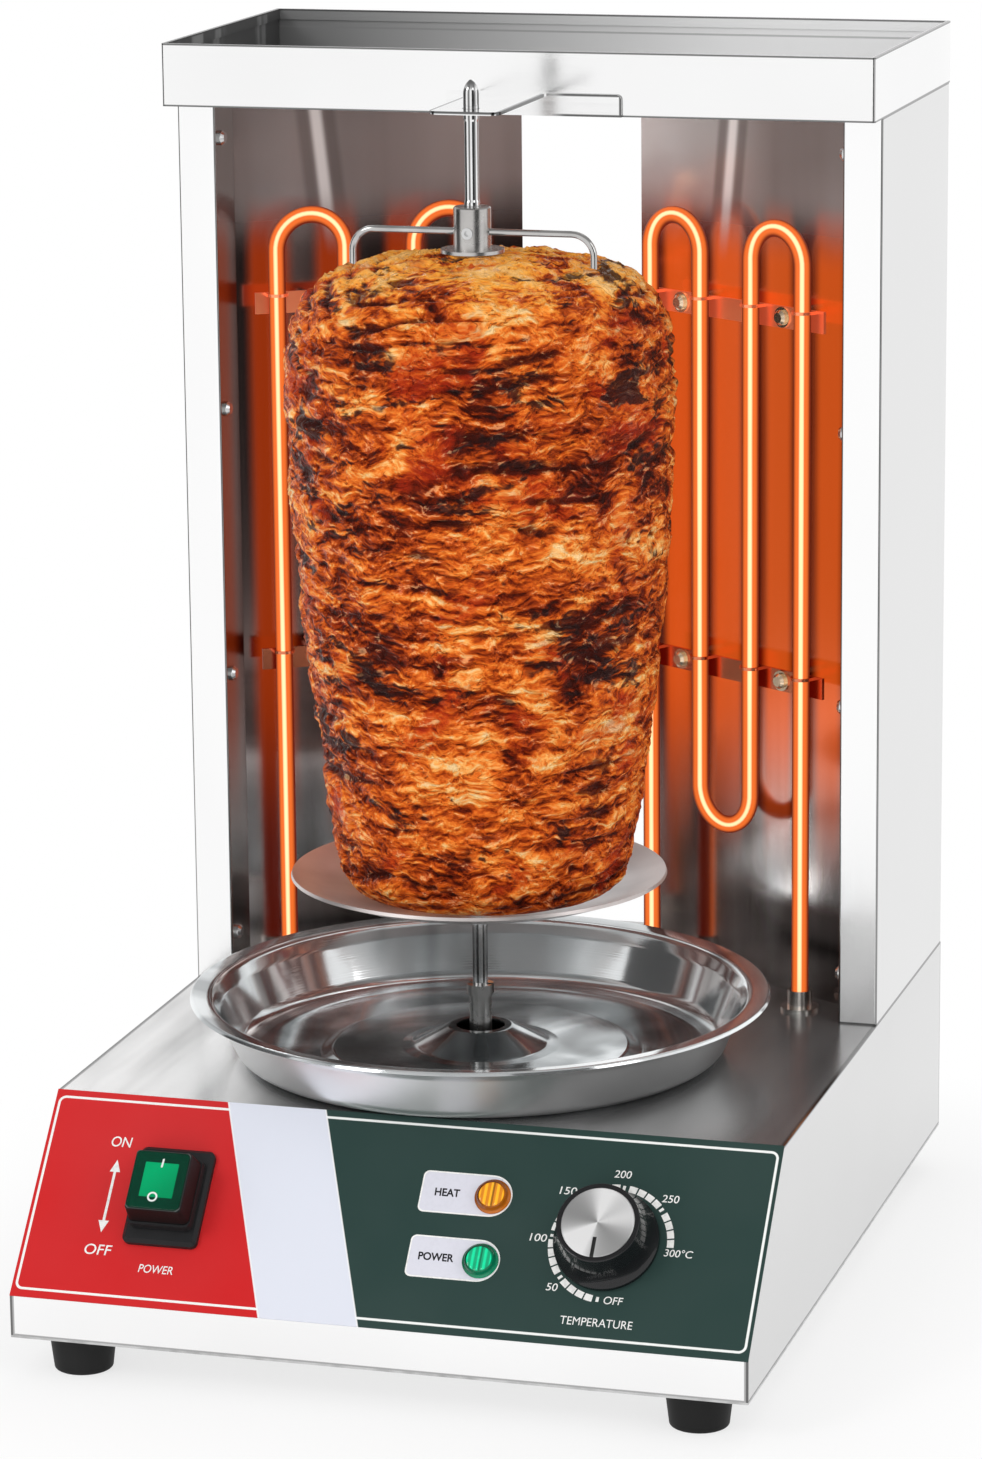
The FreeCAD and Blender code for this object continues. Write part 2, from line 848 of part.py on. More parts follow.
def switch_body():
    body = new_body("switch_body")
    housing = sketch_in(body, lift=OVERLAY)
    housing.rounded("$switch_body_width", "$switch_body_length", "$inner_corner")
    pad(body, housing, f"$switch_body_depth + {OVERLAY}", Reversed=True)
    spots = [(x, y) for x in ("-$blade_pitch / 2", "$blade_pitch / 2") for y in ("-$blade_row", "0")]
    blades(body, "$switch_body_depth", spots)
    node(place_on_panel(body, "$switch_x", "$switch_drop"))


def switch_cap():
    body = new_body("switch_cap")
    flare = "$cap_height * tan($cap_taper_angle)"
    wide, long = f"($cap_width + 2 * {flare})", f"($cap_length + 2 * {flare})"
    shell = sketch_in(body, lift=CAP_BASE).rounded(wide, long, "$switch_corner")
    pad(body, shell, "$cap_height", TaperAngle="-$cap_taper_angle")
    soften(body, "Fillet", "$cap_wall", at_height(measure(f"{CAP_BASE} + $cap_height")))
    hollow = sketch_in(body, lift=CAP_BASE)
    hollow.rounded(f"({wide} - 2 * $cap_wall)", f"({long} - 2 * $cap_wall)", "$switch_corner - $cap_wall")
    pocket(body, hollow, "$cap_height - $cap_wall", Reversed=True, TaperAngle="-$cap_taper_angle")
    node(place_on_panel(body, "$switch_x", "$switch_drop"))


def power_rocker():
    body = new_body("power_rocker")
    # Side view about the pivot: a shallow dished top and a belly that rolls in the well.
    half = "$rocker_length / 2"
    side = sketch_in(body, "YZ_Plane").draw([
        (f"-{half}", "0"), (half, "0", "+$rocker_length * 0.8"), (half, "$rocker_rise"),
        (f"-{half}", "$rocker_rise", "-$rocker_length * 3"),
    ])
    pad(body, side, "$rocker_width", Midplane=True)
    pin = sketch_in(body, "YZ_Plane")
    pin.circle("0", "0", "$trunnion_diameter")
    pad(body, pin, "$switch_well_width + 2 * $trunnion_length", Midplane=True)
    node(place_on_panel(body, "$switch_x", "$switch_drop", PIVOT, tilt="$rocker_tilt_angle"))


# ---- Lamps and temperature control

def lamp(name, drop):
    stem = "$lamp_stem / 2"
    rim = "$lamp_diameter / 2"
    shoulder = f"{OVERLAY} + $lamp_flange_height"
    seat = "-2 * $gauge"
    lens = turned(f"{name}_lens", [
        ("0", seat), (stem, seat), (stem, OVERLAY), (rim, OVERLAY), (rim, f"{OVERLAY} + $lens_edge"),
        ("$lamp_face / 2", shoulder, "+$lamp_diameter * 0.7"),
        ("$lamp_face / 2", f"{shoulder} + $lamp_face_height"), ("0", f"{shoulder} + $lamp_face_height"),
    ])
    node(place_on_panel(lens, "$lamp_x", drop))
    body = turned(f"{name}_body", [
        ("0", f"{seat} - $lamp_depth"), (stem, f"{seat} - $lamp_depth"), (stem, "-$gauge - $lamp_nut_height"),
        ("$lamp_nut / 2", "-$gauge - $lamp_nut_height"), ("$lamp_nut / 2", "-$gauge"),
        (f"{stem} + $hole_clearance", "-$gauge"), (f"{stem} + $hole_clearance", seat), ("0", seat),
    ])
    spots = [("0", "-$lamp_blade_pitch / 2"), ("0", "$lamp_blade_pitch / 2")]
    blades(body, "2 * $gauge + $lamp_depth", spots)
    node(place_on_panel(body, "$lamp_x", drop))


def temperature_control():
    foot = f"{OVERLAY} + $knob_gap"
    top = f"({OVERLAY} + $knob_height)"
    bore = "$spindle_diameter / 2 + $running_fit"
    spindle_top = f"({top} - $knob_crown)"
    disc_seat = f"({top} - $disc_recess)"
    disc_top = f"({disc_seat} + $cap_disc_height)"
    knob = turned("knob_body", [
        (bore, foot), ("$knob_skirt / 2", foot), ("$knob_skirt / 2", f"{foot} + $knob_foot"),
        ("$knob_waist / 2", f"{OVERLAY} + $knob_height * 0.5", "-$knob_height * 1.2"),
        ("$knob_top / 2", f"{top} - $knob_edge"), ("$knob_top / 2 - $knob_edge", top, "tangent"),
        ("$cap_disc / 2", top), ("$cap_disc / 2", disc_seat), ("0", disc_seat),
        ("0", spindle_top), (bore, spindle_top),
    ])
    node(place_on_panel(knob, "$knob_x", "$knob_drop"))
    edge = "($cap_disc / 2 - $running_fit)"
    cap = turned("knob_cap", [
        ("0", disc_seat), (edge, disc_seat), (edge, f"{disc_top} - $disc_edge"),
        (f"{edge} - $disc_edge", disc_top), ("0", disc_top),
    ])
    groove = sketch_in(cap, lift=disc_top)
    groove.rounded("$pointer_width", "$pointer_length", f"$pointer_width * {SLOT_END}", "0",
                   "(-$cap_disc / 2 + $pointer_length / 2 + $pointer_inset)")
    pocket(cap, groove, "$pointer_depth")
    node(place_on_panel(cap, "$knob_x", "$knob_drop"))
    spindle = turned("knob_spindle", [
        ("0", "-$spindle_depth"), ("$spindle_diameter / 2", "-$spindle_depth"),
        ("$spindle_diameter / 2", spindle_top), ("0", spindle_top),
    ])
    node(place_on_panel(spindle, "$knob_x", "$knob_drop"))
    thermostat = new_body("thermostat_body")
    housing = sketch_in(thermostat, lift="-$gauge")
    housing.rounded("$thermostat_width", "$thermostat_length", "$thermostat_corner")
    pad(thermostat, housing, "$thermostat_depth", Reversed=True)
    neck = sketch_in(thermostat, lift="-$gauge")
    neck.circle("0", "0", "$bushing_diameter")
    pad(thermostat, neck, f"$gauge + {OVERLAY}")
    hole = sketch_in(thermostat, lift=OVERLAY)
    hole.circle("0", "0", "$spindle_diameter + 2 * $running_fit")
    pocket(thermostat, hole, f"{OVERLAY} + $spindle_depth + $guide_clearance")
    spots = [(f"{side}$thermostat_blade_pitch / 2", "$blade_row") for side in ("-", "")]
    blades(thermostat, "$gauge + $thermostat_depth", spots)
    node(place_on_panel(thermostat, "$knob_x", "$knob_drop"))


# ---- Mains inlet

def mains():
    inner = f"{REAR} - $gauge"
    gland = turned("cable_gland", [
        ("$gland_bore / 2", f"{inner} - $gland_nut_height"),
        ("$gland_flange / 2", f"{inner} - $gland_nut_height"),
        ("$gland_flange / 2", inner), ("$gland_diameter / 2", inner), ("$gland_diameter / 2", REAR),
        ("$gland_flange / 2", REAR), ("$gland_flange / 2", f"{REAR} + $gland_flange_gauge"),
        ("$gland_diameter / 2", f"{REAR} + $gland_rise"), ("$gland_bore / 2", f"{REAR} + $gland_rise"),
    ], axis="y")
    node(place(gland, "$gland_x", "0", "$gland_height"))
    block = new_body("terminal_block")
    outline = sketch_in(block).rectangle("-$terminal_width / 2", "-$terminal_depth / 2",
                                         "$terminal_width / 2", "$terminal_depth / 2")
    pad(block, outline, "$terminal_height")
    span = "($terminal_count - 1) * $terminal_pitch"
    well = sketch_in(block, lift="$terminal_height")
    well.circle(f"-({span}) / 2", "0", "$terminal_hole")
    hole = pocket(block, well, "$terminal_height / 2")
    pattern(block, hole, well, "H_Axis", span, "$terminal_count")
    node(place(block, "$gland_x - $terminal_shift", f"{REAR} - $terminal_setback", PLATE_TOP))


# ---- Columns

def side_cover(label):
    # Inner corners of the fold: lip, front flange, side wall, rear flange.
    side = f"-({SIDE} - $gauge)"
    points = [
        (f"-({LIP_X} + $gauge)", LIP_END),
        (f"-({LIP_X} + $gauge)", f"{TOWER_FRONT} + $gauge"),
        (side, f"{TOWER_FRONT} + $gauge"),
        (side, f"{REAR} - $gauge"),
        (f"-({SIDE} - $rear_flange)", f"{REAR} - $gauge"),
    ]
    wall = folded(f"{label}_wall", points, "XY", "-$gauge", "$tower_height")
    place(wall, z="$deck_height")
    flange_depth = "($tower_depth - 2 * $gauge)"
    parts = [wall]
    for z in ("$deck_height", f"{TOWER_TOP} - $gauge"):
        parts.append(box(side, f"{TOWER_FRONT} + $gauge", z, "$foot_flange", flange_depth, "$gauge"))
    whole = joined("MultiFuse", f"{label}_whole", parts)
    holes = []
    for z in lip_screw_heights():
        holes.append(across_x("$screw_diameter + 2 * $hole_clearance", "4 * $gauge",
                              f"-{LIP_X} - 2 * $gauge", f"{TOWER_FRONT} + $lip_screw_inset", z))
    for z in rear_screw_heights():
        holes.append(across_y("$screw_diameter + 2 * $hole_clearance", "4 * $gauge",
                              rear_screw_x(), f"{REAR} + $gauge", z))
    return cut(label, whole, holes)


def lip_screw_heights():
    return [f"($deck_height + $lip_screw_first + {number} * $lip_screw_pitch)" for number in range(4)]


def rear_screw_heights():
    return [f"($deck_height + $tower_height / 2 + {step} * $rear_screw_pitch)" for step in (-1, 0, 1)]


def rear_screw_x():
    return f"(-{SIDE} + $rear_flange / 2)"


def clip_screw_spots():
    for level in ("$clip_upper", "$clip_lower"):
        for between in ("0.5", "2.5"):
            yield leg_position(between), f"($deck_height + {level})"


def reflector(label):
    # Front face of the sheet: screwed flange behind the lip, mirror facet, return along the gap.
    return_x = f"-$reflector_gap / 2 - $reflector_return * sin($return_angle)"
    blank = folded(f"{label}_sheet", [
        (f"-{FACET_X}", f"{LIP_END} - $reflector_hem"), (f"-{FACET_X}", LIP_END),
        ("-$reflector_gap / 2", FACET_END_Y),
        (return_x, f"{FACET_END_Y} + $reflector_return * cos($return_angle)"),
    ], "XY", "-$gauge", "$tower_height - $gauge")
    place(blank, z="$deck_height")
    holes = []
    for z in lip_screw_heights():
        holes.append(across_x("$screw_diameter + 2 * $hole_clearance", "4 * $gauge",
                              f"-{FACET_X} - 2 * $gauge", f"{TOWER_FRONT} + $lip_screw_inset", z))
    for along, z in clip_screw_spots():
        hole = across_y("$screw_diameter + 2 * $hole_clearance", "4 * $gauge", "0", "2 * $gauge", "0")
        stand = joined("Compound", f"{label}_hole", [hole])
        holes.append(place_on_facet(stand, along, "0", z))
    return cut(label, blank, holes)


def reflector_screws(label):
    parts = []
    for number, z in enumerate(lip_screw_heights()):
        y = f"{TOWER_FRONT} + $lip_screw_inset"
        screw = turned(f"{label}_{number}", screw_points(f"2 * $gauge + {NUT_REACH}", washer=False), "x")
        nut = turned(f"{label}_nut_{number}", nut_points("-2 * $gauge"), "x")
        parts += [place(screw, f"-{LIP_X}", y, z), place(nut, f"-{LIP_X}", y, z)]
    return joined("Compound", label, parts)


def rear_cover(label):
    # Outer face of the sheet: a flat back, then a return that meets the reflector's.
    meet_x = "(-$reflector_gap / 2 - $gauge * cos($return_angle))"
    meet_y = f"({FACET_END_Y} - $gauge * sin($return_angle))"
    back = f"({REAR} - $gauge)"
    run = f"(({back} - {meet_y}) / cos($return_angle))"
    points = [
        (f"-({SIDE} - $gauge - $hole_clearance)", back),
        (f"{meet_x} - {run} * sin($return_angle)", back),
        (f"{meet_x} - $return_seat * sin($return_angle)", f"{meet_y} + $return_seat * cos($return_angle)"),
    ]
    height = "($tower_height - 2 * $gauge)"
    blank = place(folded(f"{label}_sheet", points, "XY", "$gauge", height), z="$deck_height + $gauge")
    tools = []
    for z in rear_screw_heights():
        tools.append(across_y("$screw_diameter + 2 * $hole_clearance", "4 * $gauge",
                              rear_screw_x(), f"{REAR} + $gauge", z))
    middle = f"(-({SIDE} + $reflector_gap / 2) / 2)"
    for end, way in (("$slot_from_end", "1"), ("$tower_height - $slot_from_end", "-1")):
        louvres = new_body(f"{label}_slots_{'low' if way == '1' else 'high'}")
        outline = sketch_in(louvres).rounded("$slot_length", "$slot_width", f"$slot_width * {SLOT_END}")
        slot = pad(louvres, outline, "4 * $gauge", Midplane=True)
        span = "($slot_count - 1) * $slot_pitch"
        pattern(louvres, slot, outline, "V_Axis", span, "$slot_count")
        start = f"$deck_height + {end}" if way == "1" else f"$deck_height + {end} - {span}"
        tools.append(place(louvres, middle, back, start, axis=(1, 0, 0), turn="90"))
    return cut(label, blank, tools)


def rear_cover_screws(label):
    parts = []
    for number, z in enumerate(rear_screw_heights()):
        screw = turned(f"{label}_{number}", screw_points(f"2 * $gauge + {NUT_REACH}", washer=False), "y")
        nut = turned(f"{label}_nut_{number}", nut_points("-2 * $gauge"), "y")
        parts += [place(screw, rear_screw_x(), REAR, z), place(nut, rear_screw_x(), REAR, z)]
    return joined("Compound", label, parts)


# ---- Hood and bracket

def top_hood():
    half = f"({SIDE} + $hood_lap)"
    body = new_body("top_hood")
    outer = sketch_in(body, lift=TOWER_TOP).rounded(
        f"(2 * {half})", f"({REAR} - {HOOD_FACE})", "$hood_corner", "0", f"(({REAR} + {HOOD_FACE}) / 2)")
    pad(body, outer, "$hood_height")
    for level, wall in ((f"{TOWER_TOP} + $gauge", "$gauge"),
                        (f"{TOWER_TOP} + $hood_height - $hem_depth", "2 * $gauge")):
        inner = sketch_in(body, lift=level)
        inner.rectangle(f"-{half} + {wall}", f"{HOOD_FACE} + {wall}", f"{half} - {wall}", f"{REAR} - {wall}")
        if wall == "$gauge":
            pocket(body, inner, "$hood_height - $gauge - $hem_depth", Reversed=True)
        else:
            pocket(body, inner, "$hem_depth", Reversed=True)
    node(body)


def skewer_bracket():
    body = new_body("skewer_bracket")
    face = f"({HOOD_FACE} - $bracket_gauge)"
    top = f"({TOWER_TOP} + $tab_height)"
    tab = sketch_in(body, "XZ_Plane", f"-{HOOD_FACE}").draw([
        ("-$tab_left", TOWER_TOP), ("$tab_right", TOWER_TOP), ("$tab_right", f"{top} - $tab_corner"),
        ("$tab_right - $tab_corner", top, "tangent"), ("-$tab_left", top),
    ])
    pad(body, tab, "$bracket_gauge")
    reach = f"({HOOD_FACE} - $tongue_reach)"
    half = "$tongue_width / 2"
    tongue = sketch_in(body, lift=TONGUE_Z).draw([
        (f"-{half}", face), (f"-{half}", f"{reach} + $tongue_corner"),
        (f"-{half} + $tongue_corner", reach, "tangent"), (f"{half} - $tongue_corner", reach),
        (half, f"{reach} + $tongue_corner", "tangent"), (half, face),
    ])
    tongue.circle("0", SKEWER_Y, "$rod_diameter + 2 * $guide_clearance")
    pad(body, tongue, "$bracket_gauge")
    node(body)


# ---- Heating elements

def heating_element(label):
    body = new_body(label)
    radius = "$element_pitch / 2"
    low, high = f"$element_low + {radius}", f"$element_top - {radius}"
    legs = [f"{number} * $element_pitch" for number in range(4)]
    path = sketch_in(body, "XZ_Plane").draw([
        (legs[0], "-$cold_end"), (legs[0], high), (legs[1], high, "tangent"), (legs[1], low),
        (legs[2], low, "tangent"), (legs[2], high), (legs[3], high, "tangent"), (legs[3], "-$cold_end"),
    ], closed=False)
    ring = sketch_in(body, lift="-$cold_end")
    ring.circle("0", "0", "$tube_diameter")
    tube = body.newObject("PartDesign::AdditivePipe", f"{label}_tube")
    tube.Profile = ring.sketch
    tube.Spine = (path.sketch, [f"Edge{number}" for number in range(1, 8)])
    studs = sketch_in(body, lift="-$cold_end")
    for x in (legs[0], legs[3]):
        studs.circle(x, "0", "$stud_diameter")
    pad(body, studs, "$stud_length", Reversed=True)
    return place_on_facet(body, "$element_inset", "-$element_offset", "$deck_height")


def element_ferrules(label):
    parts = []
    bore = "$tube_diameter / 2 + $running_fit"
    for number in (0, 3):
        ferrule = turned(f"{label}_{number}", [
            (bore, "-$ferrule_drop"), ("$ferrule_diameter / 2", "-$ferrule_drop"),
            ("$ferrule_diameter / 2", "0"),
            ("$ferrule_flange / 2", "0"), ("$ferrule_flange / 2", "$ferrule_flange_gauge"),
            ("$ferrule_diameter / 2", "$ferrule_flange_gauge"), ("$ferrule_diameter / 2", "$ferrule_height"),
            (bore, "$ferrule_height"),
        ])
        parts.append(place_on_facet(ferrule, leg_position(number), "-$element_offset", "$deck_height"))
    return joined("Compound", label, parts)


STRIP_FACE = "($tube_diameter / 2 + $running_fit)"
STRIP_BACK = f"({STRIP_FACE} + $strip_gauge)"


def clip_strip(label, level):
    # A flat bar behind the tubes, with a narrow lanced loop round the front of each one.
    body = new_body(label)
    bar = sketch_in(body).rectangle("-$strip_end", STRIP_FACE, "3 * $element_pitch + $strip_end", STRIP_BACK)
    pad(body, bar, "$strip_height")
    inner, outer = STRIP_FACE, f"({STRIP_FACE} + $loop_gauge)"
    loop = sketch_in(body, lift="$strip_height - $loop_height").draw([
        (f"-{outer}", STRIP_BACK), (f"-{outer}", "0"), (outer, "0", "tangent"), (outer, STRIP_BACK),
        (inner, STRIP_BACK), (inner, "0"), (f"-{inner}", "0", "tangent"), (f"-{inner}", STRIP_BACK),
    ])
    lance = pad(body, loop, "$loop_height")
    pattern(body, lance, loop, "H_Axis", "3 * $element_pitch", "4")
    holes = sketch_in(body, "XZ_Plane")
    for between in ("0.5", "2.5"):
        middle = f"{between} * $element_pitch"
        holes.circle(middle, "$strip_height / 2", "$screw_diameter + 2 * $hole_clearance")
    pocket(body, holes, f"2 * ({STRIP_BACK} + $gauge)", Midplane=True)
    return place_on_facet(body, "$element_inset", "-$element_offset",
                          f"$deck_height + {level} - $strip_height / 2")


def clip_fasteners(label, points, behind):
    parts = []
    for number, (along, z) in enumerate(clip_screw_spots()):
        piece = turned(f"{label}_{number}", points, "y")
        parts.append(place_on_facet(piece, along, behind, z))
    return parts


def clip_screws(label):
    # Heads face the skewer: the turning axis runs backwards, so lengths are negated.
    length = f"$element_offset - {STRIP_FACE} + $gauge + {NUT_REACH}"
    front = [(p[0], f"-({p[1]})", *p[2:]) for p in screw_points(length)]
    screws = clip_fasteners(label, front, f"-$element_offset + {STRIP_FACE}")
    back = [(p[0], f"-({p[1]})", *p[2:]) for p in nut_points("-$gauge")]
    nuts = clip_fasteners(f"{label}_nut", back, "0")
    return joined("Compound", label, screws + nuts)


def clip_spacers(label):
    bore = "$screw_diameter / 2 + $hole_clearance"
    wall = "$spacer_diameter / 2"
    reach = f"$element_offset - {STRIP_BACK}"
    points = [(bore, "0"), (wall, "0"), (wall, f"-({reach})"), (bore, f"-({reach})")]
    return joined("Compound", label, clip_fasteners(label, points, "0"))


# ---- Drive

def motor():
    half, foot = "$motor_bracket_half", "$motor_bracket_foot"
    bracket = folded("motor_bracket_sheet", [
        (f"-{half} - {foot}", DECK_UNDER), (f"-{half}", DECK_UNDER), (f"-{half}", BRACKET_Z),
        (half, BRACKET_Z), (half, DECK_UNDER), (f"{half} + {foot}", DECK_UNDER),
    ], "XZ", "-$motor_bracket_gauge", "$motor_bracket_width")
    place(bracket, y=SKEWER_Y)
    below = f"{MOTOR_TOP} - $motor_bracket_gauge"
    depth = "4 * $motor_bracket_gauge"
    tools = [place(cylinder("$motor_pilot + 2 * $hole_clearance", depth), "0", SKEWER_Y, below)]
    for side in ("-", ""):
        hole = cylinder("$screw_diameter + 2 * $hole_clearance", depth)
        tools.append(place(hole, f"{side}$motor_screw_span / 2", SKEWER_Y, below))
    node(cut("motor_bracket", bracket, tools))
    body = turned("gear_motor", [
        ("0", "-$motor_height"), ("$motor_diameter / 2 - $motor_edge", "-$motor_height"),
        ("$motor_diameter / 2", "-$motor_height + $motor_edge", "tangent"), ("$motor_diameter / 2", "0"),
        ("$motor_pilot / 2", "0"), ("$motor_pilot / 2", "$motor_bracket_gauge"),
        ("$shaft_diameter / 2 + $running_fit", "$motor_bracket_gauge"),
        ("$shaft_diameter / 2 + $running_fit", "-$motor_height + $motor_floor"),
        ("0", "-$motor_height + $motor_floor"),
    ])
    ears = sketch_in(body)
    ears.rounded("($motor_screw_span + 2 * $ear_overhang)", "$ear_width", "$ear_overhang")
    for side in ("-", ""):
        ears.circle(f"{side}$motor_screw_span / 2", "0", "$screw_diameter + 2 * $hole_clearance")
    ears.circle("0", "0", "$shaft_diameter + 2 * $running_fit")
    pad(body, ears, "$ear_gauge", Reversed=True)
    lead_box = sketch_in(body, lift="-$lead_box_drop")
    lead_box.rounded("$lead_box_width", "$lead_box_depth", "$motor_edge", "0", "(-$motor_diameter / 2)")
    pad(body, lead_box, "$lead_box_height", Reversed=True)
    node(place(body, "0", SKEWER_Y, MOTOR_TOP))
    parts = []
    for side in ("-", ""):
        x = f"{side}$motor_screw_span / 2"
        grip = f"$ear_gauge + $motor_bracket_gauge + {NUT_REACH}"
        screw = turned("motor_screw", screw_points(grip, washer=False))
        place(screw, x, SKEWER_Y, f"{MOTOR_TOP} - $ear_gauge", axis=(1, 0, 0), turn="180")
        nut = turned("motor_nut", nut_points("$nut_height"))
        place(nut, x, SKEWER_Y, BRACKET_Z)
        parts += [screw, nut]
    node(joined("Compound", "motor_screws", parts))


def drive():
    wall = "$socket_diameter / 2"
    low = "$deck_height - $socket_drop"
    web_top = f"{SOCKET_TOP} - $socket_bore_depth"
    web = f"{web_top} - $socket_web"
    lower, upper = "$shaft_diameter / 2 + $running_fit", "$rod_diameter / 2 + $sliding_fit"
    socket = turned("drive_socket", [
        (lower, low), (wall, low), (wall, f"{SOCKET_TOP} - $collar_height"),
        ("$collar_diameter / 2", f"{SOCKET_TOP} - $collar_height"), ("$collar_diameter / 2", SOCKET_TOP),
        (upper, SOCKET_TOP), (upper, web_top), ("0", web_top), ("0", web), (lower, web),
    ])
    slot = sketch_in(socket, lift=SOCKET_TOP)
    slot.rectangle("-$collar_diameter", "-$key_slot / 2", "$collar_diameter", "$key_slot / 2")
    pocket(socket, slot, "$collar_height")
    node(place(socket, "0", SKEWER_Y))
    end = f"{MOTOR_TOP} - $motor_height + $motor_floor + $guide_clearance"
    shaft = turned("drive_shaft", [
        ("0", end), ("$shaft_diameter / 2", end), ("$shaft_diameter / 2", web), ("0", web),
    ])
    node(place(shaft, "0", SKEWER_Y))
    bore = f"{wall} + $sliding_fit"
    bush = turned("deck_bush", [
        (bore, f"{DECK_UNDER} - $bush_flange_gauge"),
        ("$bush_flange / 2", f"{DECK_UNDER} - $bush_flange_gauge"),
        ("$bush_flange / 2", DECK_UNDER), ("$bush_neck / 2", DECK_UNDER),
        ("$bush_neck / 2", "$deck_height + $bush_rise"), (bore, "$deck_height + $bush_rise"),
    ])
    node(place(bush, "0", SKEWER_Y))


# ---- Skewer, plate, fork and meat

def skewer():
    neck_low = f"{FORK_Z} + $fork_height + $neck_start"
    neck_high = f"({TONGUE_Z} - $neck_end)"
    tip = f"({TONGUE_Z} + $bracket_gauge + $tip_rise)"
    wide, thin = "$rod_diameter / 2", "$rod_neck / 2"
    rod = turned("skewer_rod", [
        ("0", ROD_END), (wide, ROD_END), (wide, neck_low), (thin, f"{neck_low} + $neck_taper"),
        (thin, f"{neck_high} - $neck_taper"), (wide, neck_high), (wide, f"{tip} - $tip_length"),
        ("$tip_flat / 2", tip, "tangent"), ("0", tip),
    ])
    key = sketch_in(rod, "YZ_Plane")
    key.circle("0", f"{SOCKET_TOP} - $key_drop", "$key_diameter")
    pad(rod, key, "$key_length", Midplane=True)
    node(place(rod, "0", SKEWER_Y))
    bore = "$rod_diameter / 2 + $running_fit"
    rim = f"{PLATE_Z} + $plate_gauge + $plate_dish"
    plate = pressed("support_plate", [
        (bore, PLATE_Z), ("$plate_flat_radius", PLATE_Z),
        ("$plate_radius", f"{PLATE_Z} + $plate_dish", "+$plate_curve"),
    ], "$plate_gauge")
    node(place(plate, "0", SKEWER_Y))
    hub_low = f"({PLATE_Z} - $hub_height)"
    hub = turned("plate_hub", [
        (bore, hub_low), ("$hub_diameter / 2", hub_low), ("$hub_diameter / 2", PLATE_Z), (bore, PLATE_Z),
    ])
    node(cut("plate_hub", place(hub, "0", SKEWER_Y), [
        across_y("$set_screw + 2 * $running_fit", "$hub_diameter",
                 "0", SKEWER_Y, f"{PLATE_Z} - $hub_height / 2")]))
    screw = set_screw("hub_screw", "$hub_diameter / 2", "$set_screw")
    node(place(screw, "0", SKEWER_Y, f"{PLATE_Z} - $hub_height / 2"))


def set_screw(label, reach, size):
    # A headless screw along -Y that bears on the rod.
    inner = "-($rod_diameter / 2 + $running_fit)"
    end = f"-({reach}) - $screw_proud"
    return turned(label, [
        ("0", inner), (f"{size} / 2 - $screw_point", inner), (f"{size} / 2", f"{inner} - $screw_point"),
        (f"{size} / 2", end), (f"{size} / 4", end), (f"{size} / 4", f"{end} + $key_socket_depth"),
        ("0", f"{end} + $key_socket_depth"),
    ], "y")


def fork():
    bore = "$rod_diameter / 2 + $sliding_fit"
    top = f"{FORK_Z} + $fork_height"
    hub = turned("fork_hub", [
        (bore, FORK_Z), ("$fork_flange / 2", FORK_Z), ("$fork_flange / 2", f"{FORK_Z} + $fork_flange_gauge"),
        ("$fork_diameter / 2", f"{FORK_Z} + $fork_flange_gauge"),
        ("$fork_diameter / 2", f"{top} - $fork_edge"),
        ("$fork_diameter / 2 - $fork_edge", top), (bore, top),
    ])
    place(hub, "0", SKEWER_Y)
    level = f"({FORK_Z} + $prong_rise)"
    prong_hole = across_x("$prong_diameter + 2 * $running_fit", "$fork_diameter",
                          "-$fork_diameter / 2", SKEWER_Y, level)
    screw_hole = across_y("$fork_screw + 2 * $running_fit", "$fork_diameter", "0", SKEWER_Y, level)
    node(cut("fork_hub", hub, [joined("MultiFuse", "fork_holes", [prong_hole, screw_hole])]))
    screw = set_screw("fork_screw", "$fork_diameter / 2", "$fork_screw")
    node(place(screw, "0", SKEWER_Y, level))
    prong = new_body("prong_right")
    start = "($fork_diameter / 2 - $prong_seat)"
    reach = "$prong_span / 2"
    path = sketch_in(prong, "XZ_Plane").draw([
        (start, "0"), (f"{reach} - $prong_bend", "0"), (reach, "-$prong_bend", "tangent"),
        (reach, "-$prong_length"),
    ], closed=False)
    ring = sketch_in(prong, "YZ_Plane", start)
    ring.circle("0", "0", "$prong_diameter")
    rod = prong.newObject("PartDesign::AdditivePipe", "prong_rod")
    rod.Profile = ring.sketch
    rod.Spine = (path.sketch, ["Edge1", "Edge2", "Edge3"])
    place(prong, "0", SKEWER_Y, level)
    node(joined("Compound", "fork_prongs", [prong, mirrored("prong_left", prong)]))


# Outline of the meat: share of its height, share of its greatest radius
MEAT_OUTLINE = [
    (0.0, 0.69), (0.02, 0.75), (0.15, 0.82), (0.33, 0.9), (0.5, 0.955), (0.65, 0.985),
    (0.78, 1.0), (0.88, 0.985), (0.94, 0.92), (0.972, 0.8), (0.99, 0.5),
]


